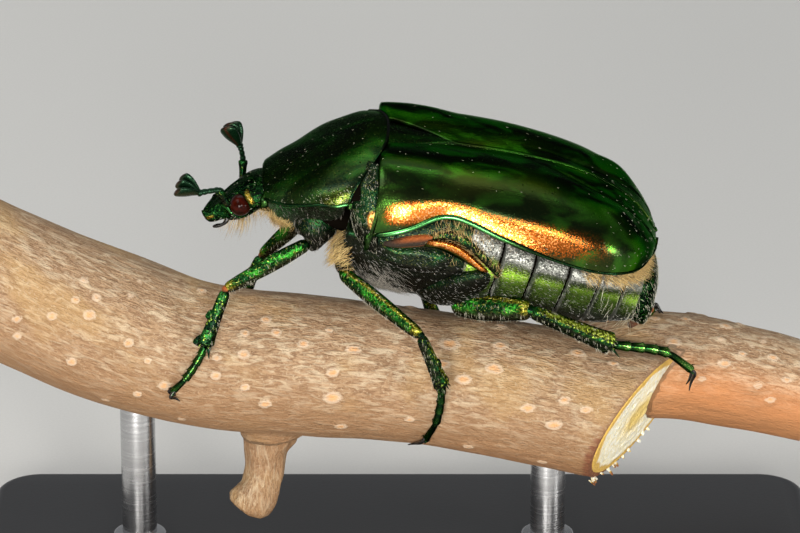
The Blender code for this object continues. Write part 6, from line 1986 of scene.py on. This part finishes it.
@dataclass(frozen=True)
class Studio:
    """A pale floor, soft lights and the camera at the photograph's view."""

    picture_width: float = 800.0
    sensor: float = 36.0
    floor_half: float = 3.0

    def build(self) -> None:
        """Makes the floor, the lights, the sky and the camera."""
        self.build_floor()
        self.lamp("key", (-0.058, -0.234, 0.046), (0.095, 0.095), 0.5, (1.0, 0.97, 0.92))
        self.lamp("kick", (0.05, -0.235, 0.078), (0.05, 0.05), 0.17, (1.0, 0.97, 0.92))
        self.lamp("side", (0.24, -0.17, 0.05), (0.09, 0.07), 0.34, (1.0, 0.98, 0.94))
        self.lamp("top", (0.0, 0.16, 0.3), (0.36, 0.2), 0.24, (0.96, 1.0, 0.98))
        self.lamp("fill", (-0.22, -0.1, 0.3), (0.24, 0.24), 0.5, (1.0, 0.98, 0.95))
        self.build_sky()
        self.build_camera()
        bpy.context.scene.view_settings.view_transform = "Standard"

    def build_floor(self) -> None:
        """Makes the pale floor."""
        mesh = bmesh.new()
        bmesh.ops.create_grid(mesh, x_segments=2, y_segments=2, size=self.floor_half)
        data = bpy.data.meshes.new("floor")
        mesh.to_mesh(data)
        mesh.free()
        floor = bpy.data.objects.new("floor", data)
        bpy.context.scene.collection.objects.link(floor)
        data.materials.append(Painted("floor_pale", base=(0.74, 0.73, 0.71), roughness=0.85, metal=0.0,
                                      stretch=(1.0, 1.0, 1.0), fade=0.97).material())
        floor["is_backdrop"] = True

    @staticmethod
    def lamp(name: str, place: Triple, size: tuple[float, float], power: float,
             colour: Colour) -> None:
        """Hangs a soft elliptical light that faces the beetle."""
        data = bpy.data.lights.new(name, "AREA")
        data.shape = "ELLIPSE"
        data.size, data.size_y = size
        data.energy = power
        data.color = colour
        lamp = bpy.data.objects.new(name, data)
        lamp.location = place
        aim = Vector(place) - Vector((0.0, 0.0, (DATUM + 2.0) * MM))
        lamp.rotation_euler = aim.to_track_quat("Z", "Y").to_euler()
        bpy.context.scene.collection.objects.link(lamp)

    @staticmethod
    def build_sky() -> None:
        """Makes a world that is pale near the horizon and dim overhead."""
        world = bpy.data.worlds.new("studio")
        bpy.context.scene.world = world
        world.use_nodes = True
        tree = world.node_tree
        background = tree.nodes["Background"]
        coordinates = tree.nodes.new("ShaderNodeTexCoord")
        split = tree.nodes.new("ShaderNodeSeparateXYZ")
        ramp = tree.nodes.new("ShaderNodeMapRange")
        ramp.interpolation_type = "SMOOTHSTEP"
        ramp.inputs["From Min"].default_value = 0.05
        ramp.inputs["From Max"].default_value = 0.4
        ramp.inputs["To Min"].default_value = 0.42
        ramp.inputs["To Max"].default_value = 0.2
        tree.links.new(coordinates.outputs["Generated"], split.inputs[0])
        tree.links.new(split.outputs["Z"], ramp.inputs["Value"])
        tree.links.new(ramp.outputs[0], background.inputs["Strength"])
        background.inputs["Color"].default_value = (0.95, 0.97, 1.0, 1.0)

    def build_camera(self) -> None:
        """Sets the camera where the photograph was taken from."""
        data = bpy.data.cameras.new("camera")
        data.sensor_width = self.sensor
        data.lens = self.sensor * VIEW_DISTANCE / (self.picture_width / SCALE)
        data.clip_start = 0.001
        camera = bpy.data.objects.new("camera", data)
        back = Vector((0.0, -math.cos(VIEW_TILT), math.sin(VIEW_TILT)))
        camera.location = (Vector((0.0, 0.0, DATUM)) + back * VIEW_DISTANCE) * MM
        camera.rotation_euler = (-back).to_track_quat("-Z", "Y").to_euler()
        bpy.context.scene.collection.objects.link(camera)
        bpy.context.scene.camera = camera


def corners() -> list[list[float]]:
    """The shown object's lowest and highest corners as plain numbers."""
    return [list(corner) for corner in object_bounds()]


def main() -> None:
    """Builds every sub-assembly in order."""
    logging.basicConfig(level=logging.INFO, format="%(message)s")
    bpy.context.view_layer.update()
    shop = Workshop()
    shield = Scutellum()
    dome = Pronotum()
    branch = Branch()
    branch.build(shop)
    Stand().build(shop, branch)
    skins: dict[str, object] = Underside(Trunk(), dome).build(shop)
    shield.build(shop)
    dome.build(shop)
    for side in Side:
        WingCase(side, shield).build(shop)
        skins[f"elytron_{side.word}"] = bpy.data.objects[f"elytron_{side.word}_case"]
    skins["pronotum"] = bpy.data.objects["pronotum_shield"]
    skins.update(Head().build(shop))
    Feeler(Side.LEFT, ((-7.3, -1.82, 3.66), (-7.6, -1.98, 4.25), (-8.05, -2.2, 4.28), (-8.5, -2.35, 4.25)),
           ((-9.12, -2.2, 5.0), (-9.3, -2.55, 4.8), (-9.34, -2.95, 4.55))).build(shop)
    Feeler(Side.RIGHT, ((-6.72, 2.3, 3.3), (-6.7, 2.4, 3.95), (-6.76, 2.3, 4.4), (-6.85, 2.25, 4.72)),
           ((-7.42, 1.9, 5.62), (-7.3, 2.25, 5.68), (-7.1, 2.6, 5.62))).build(shop)
    legs = [Leg(plan, branch).build(shop) for plan in LEGS]
    grow_coats(shop, skins, legs)
    Studio().build()


if __name__ == "__main__":
    main()
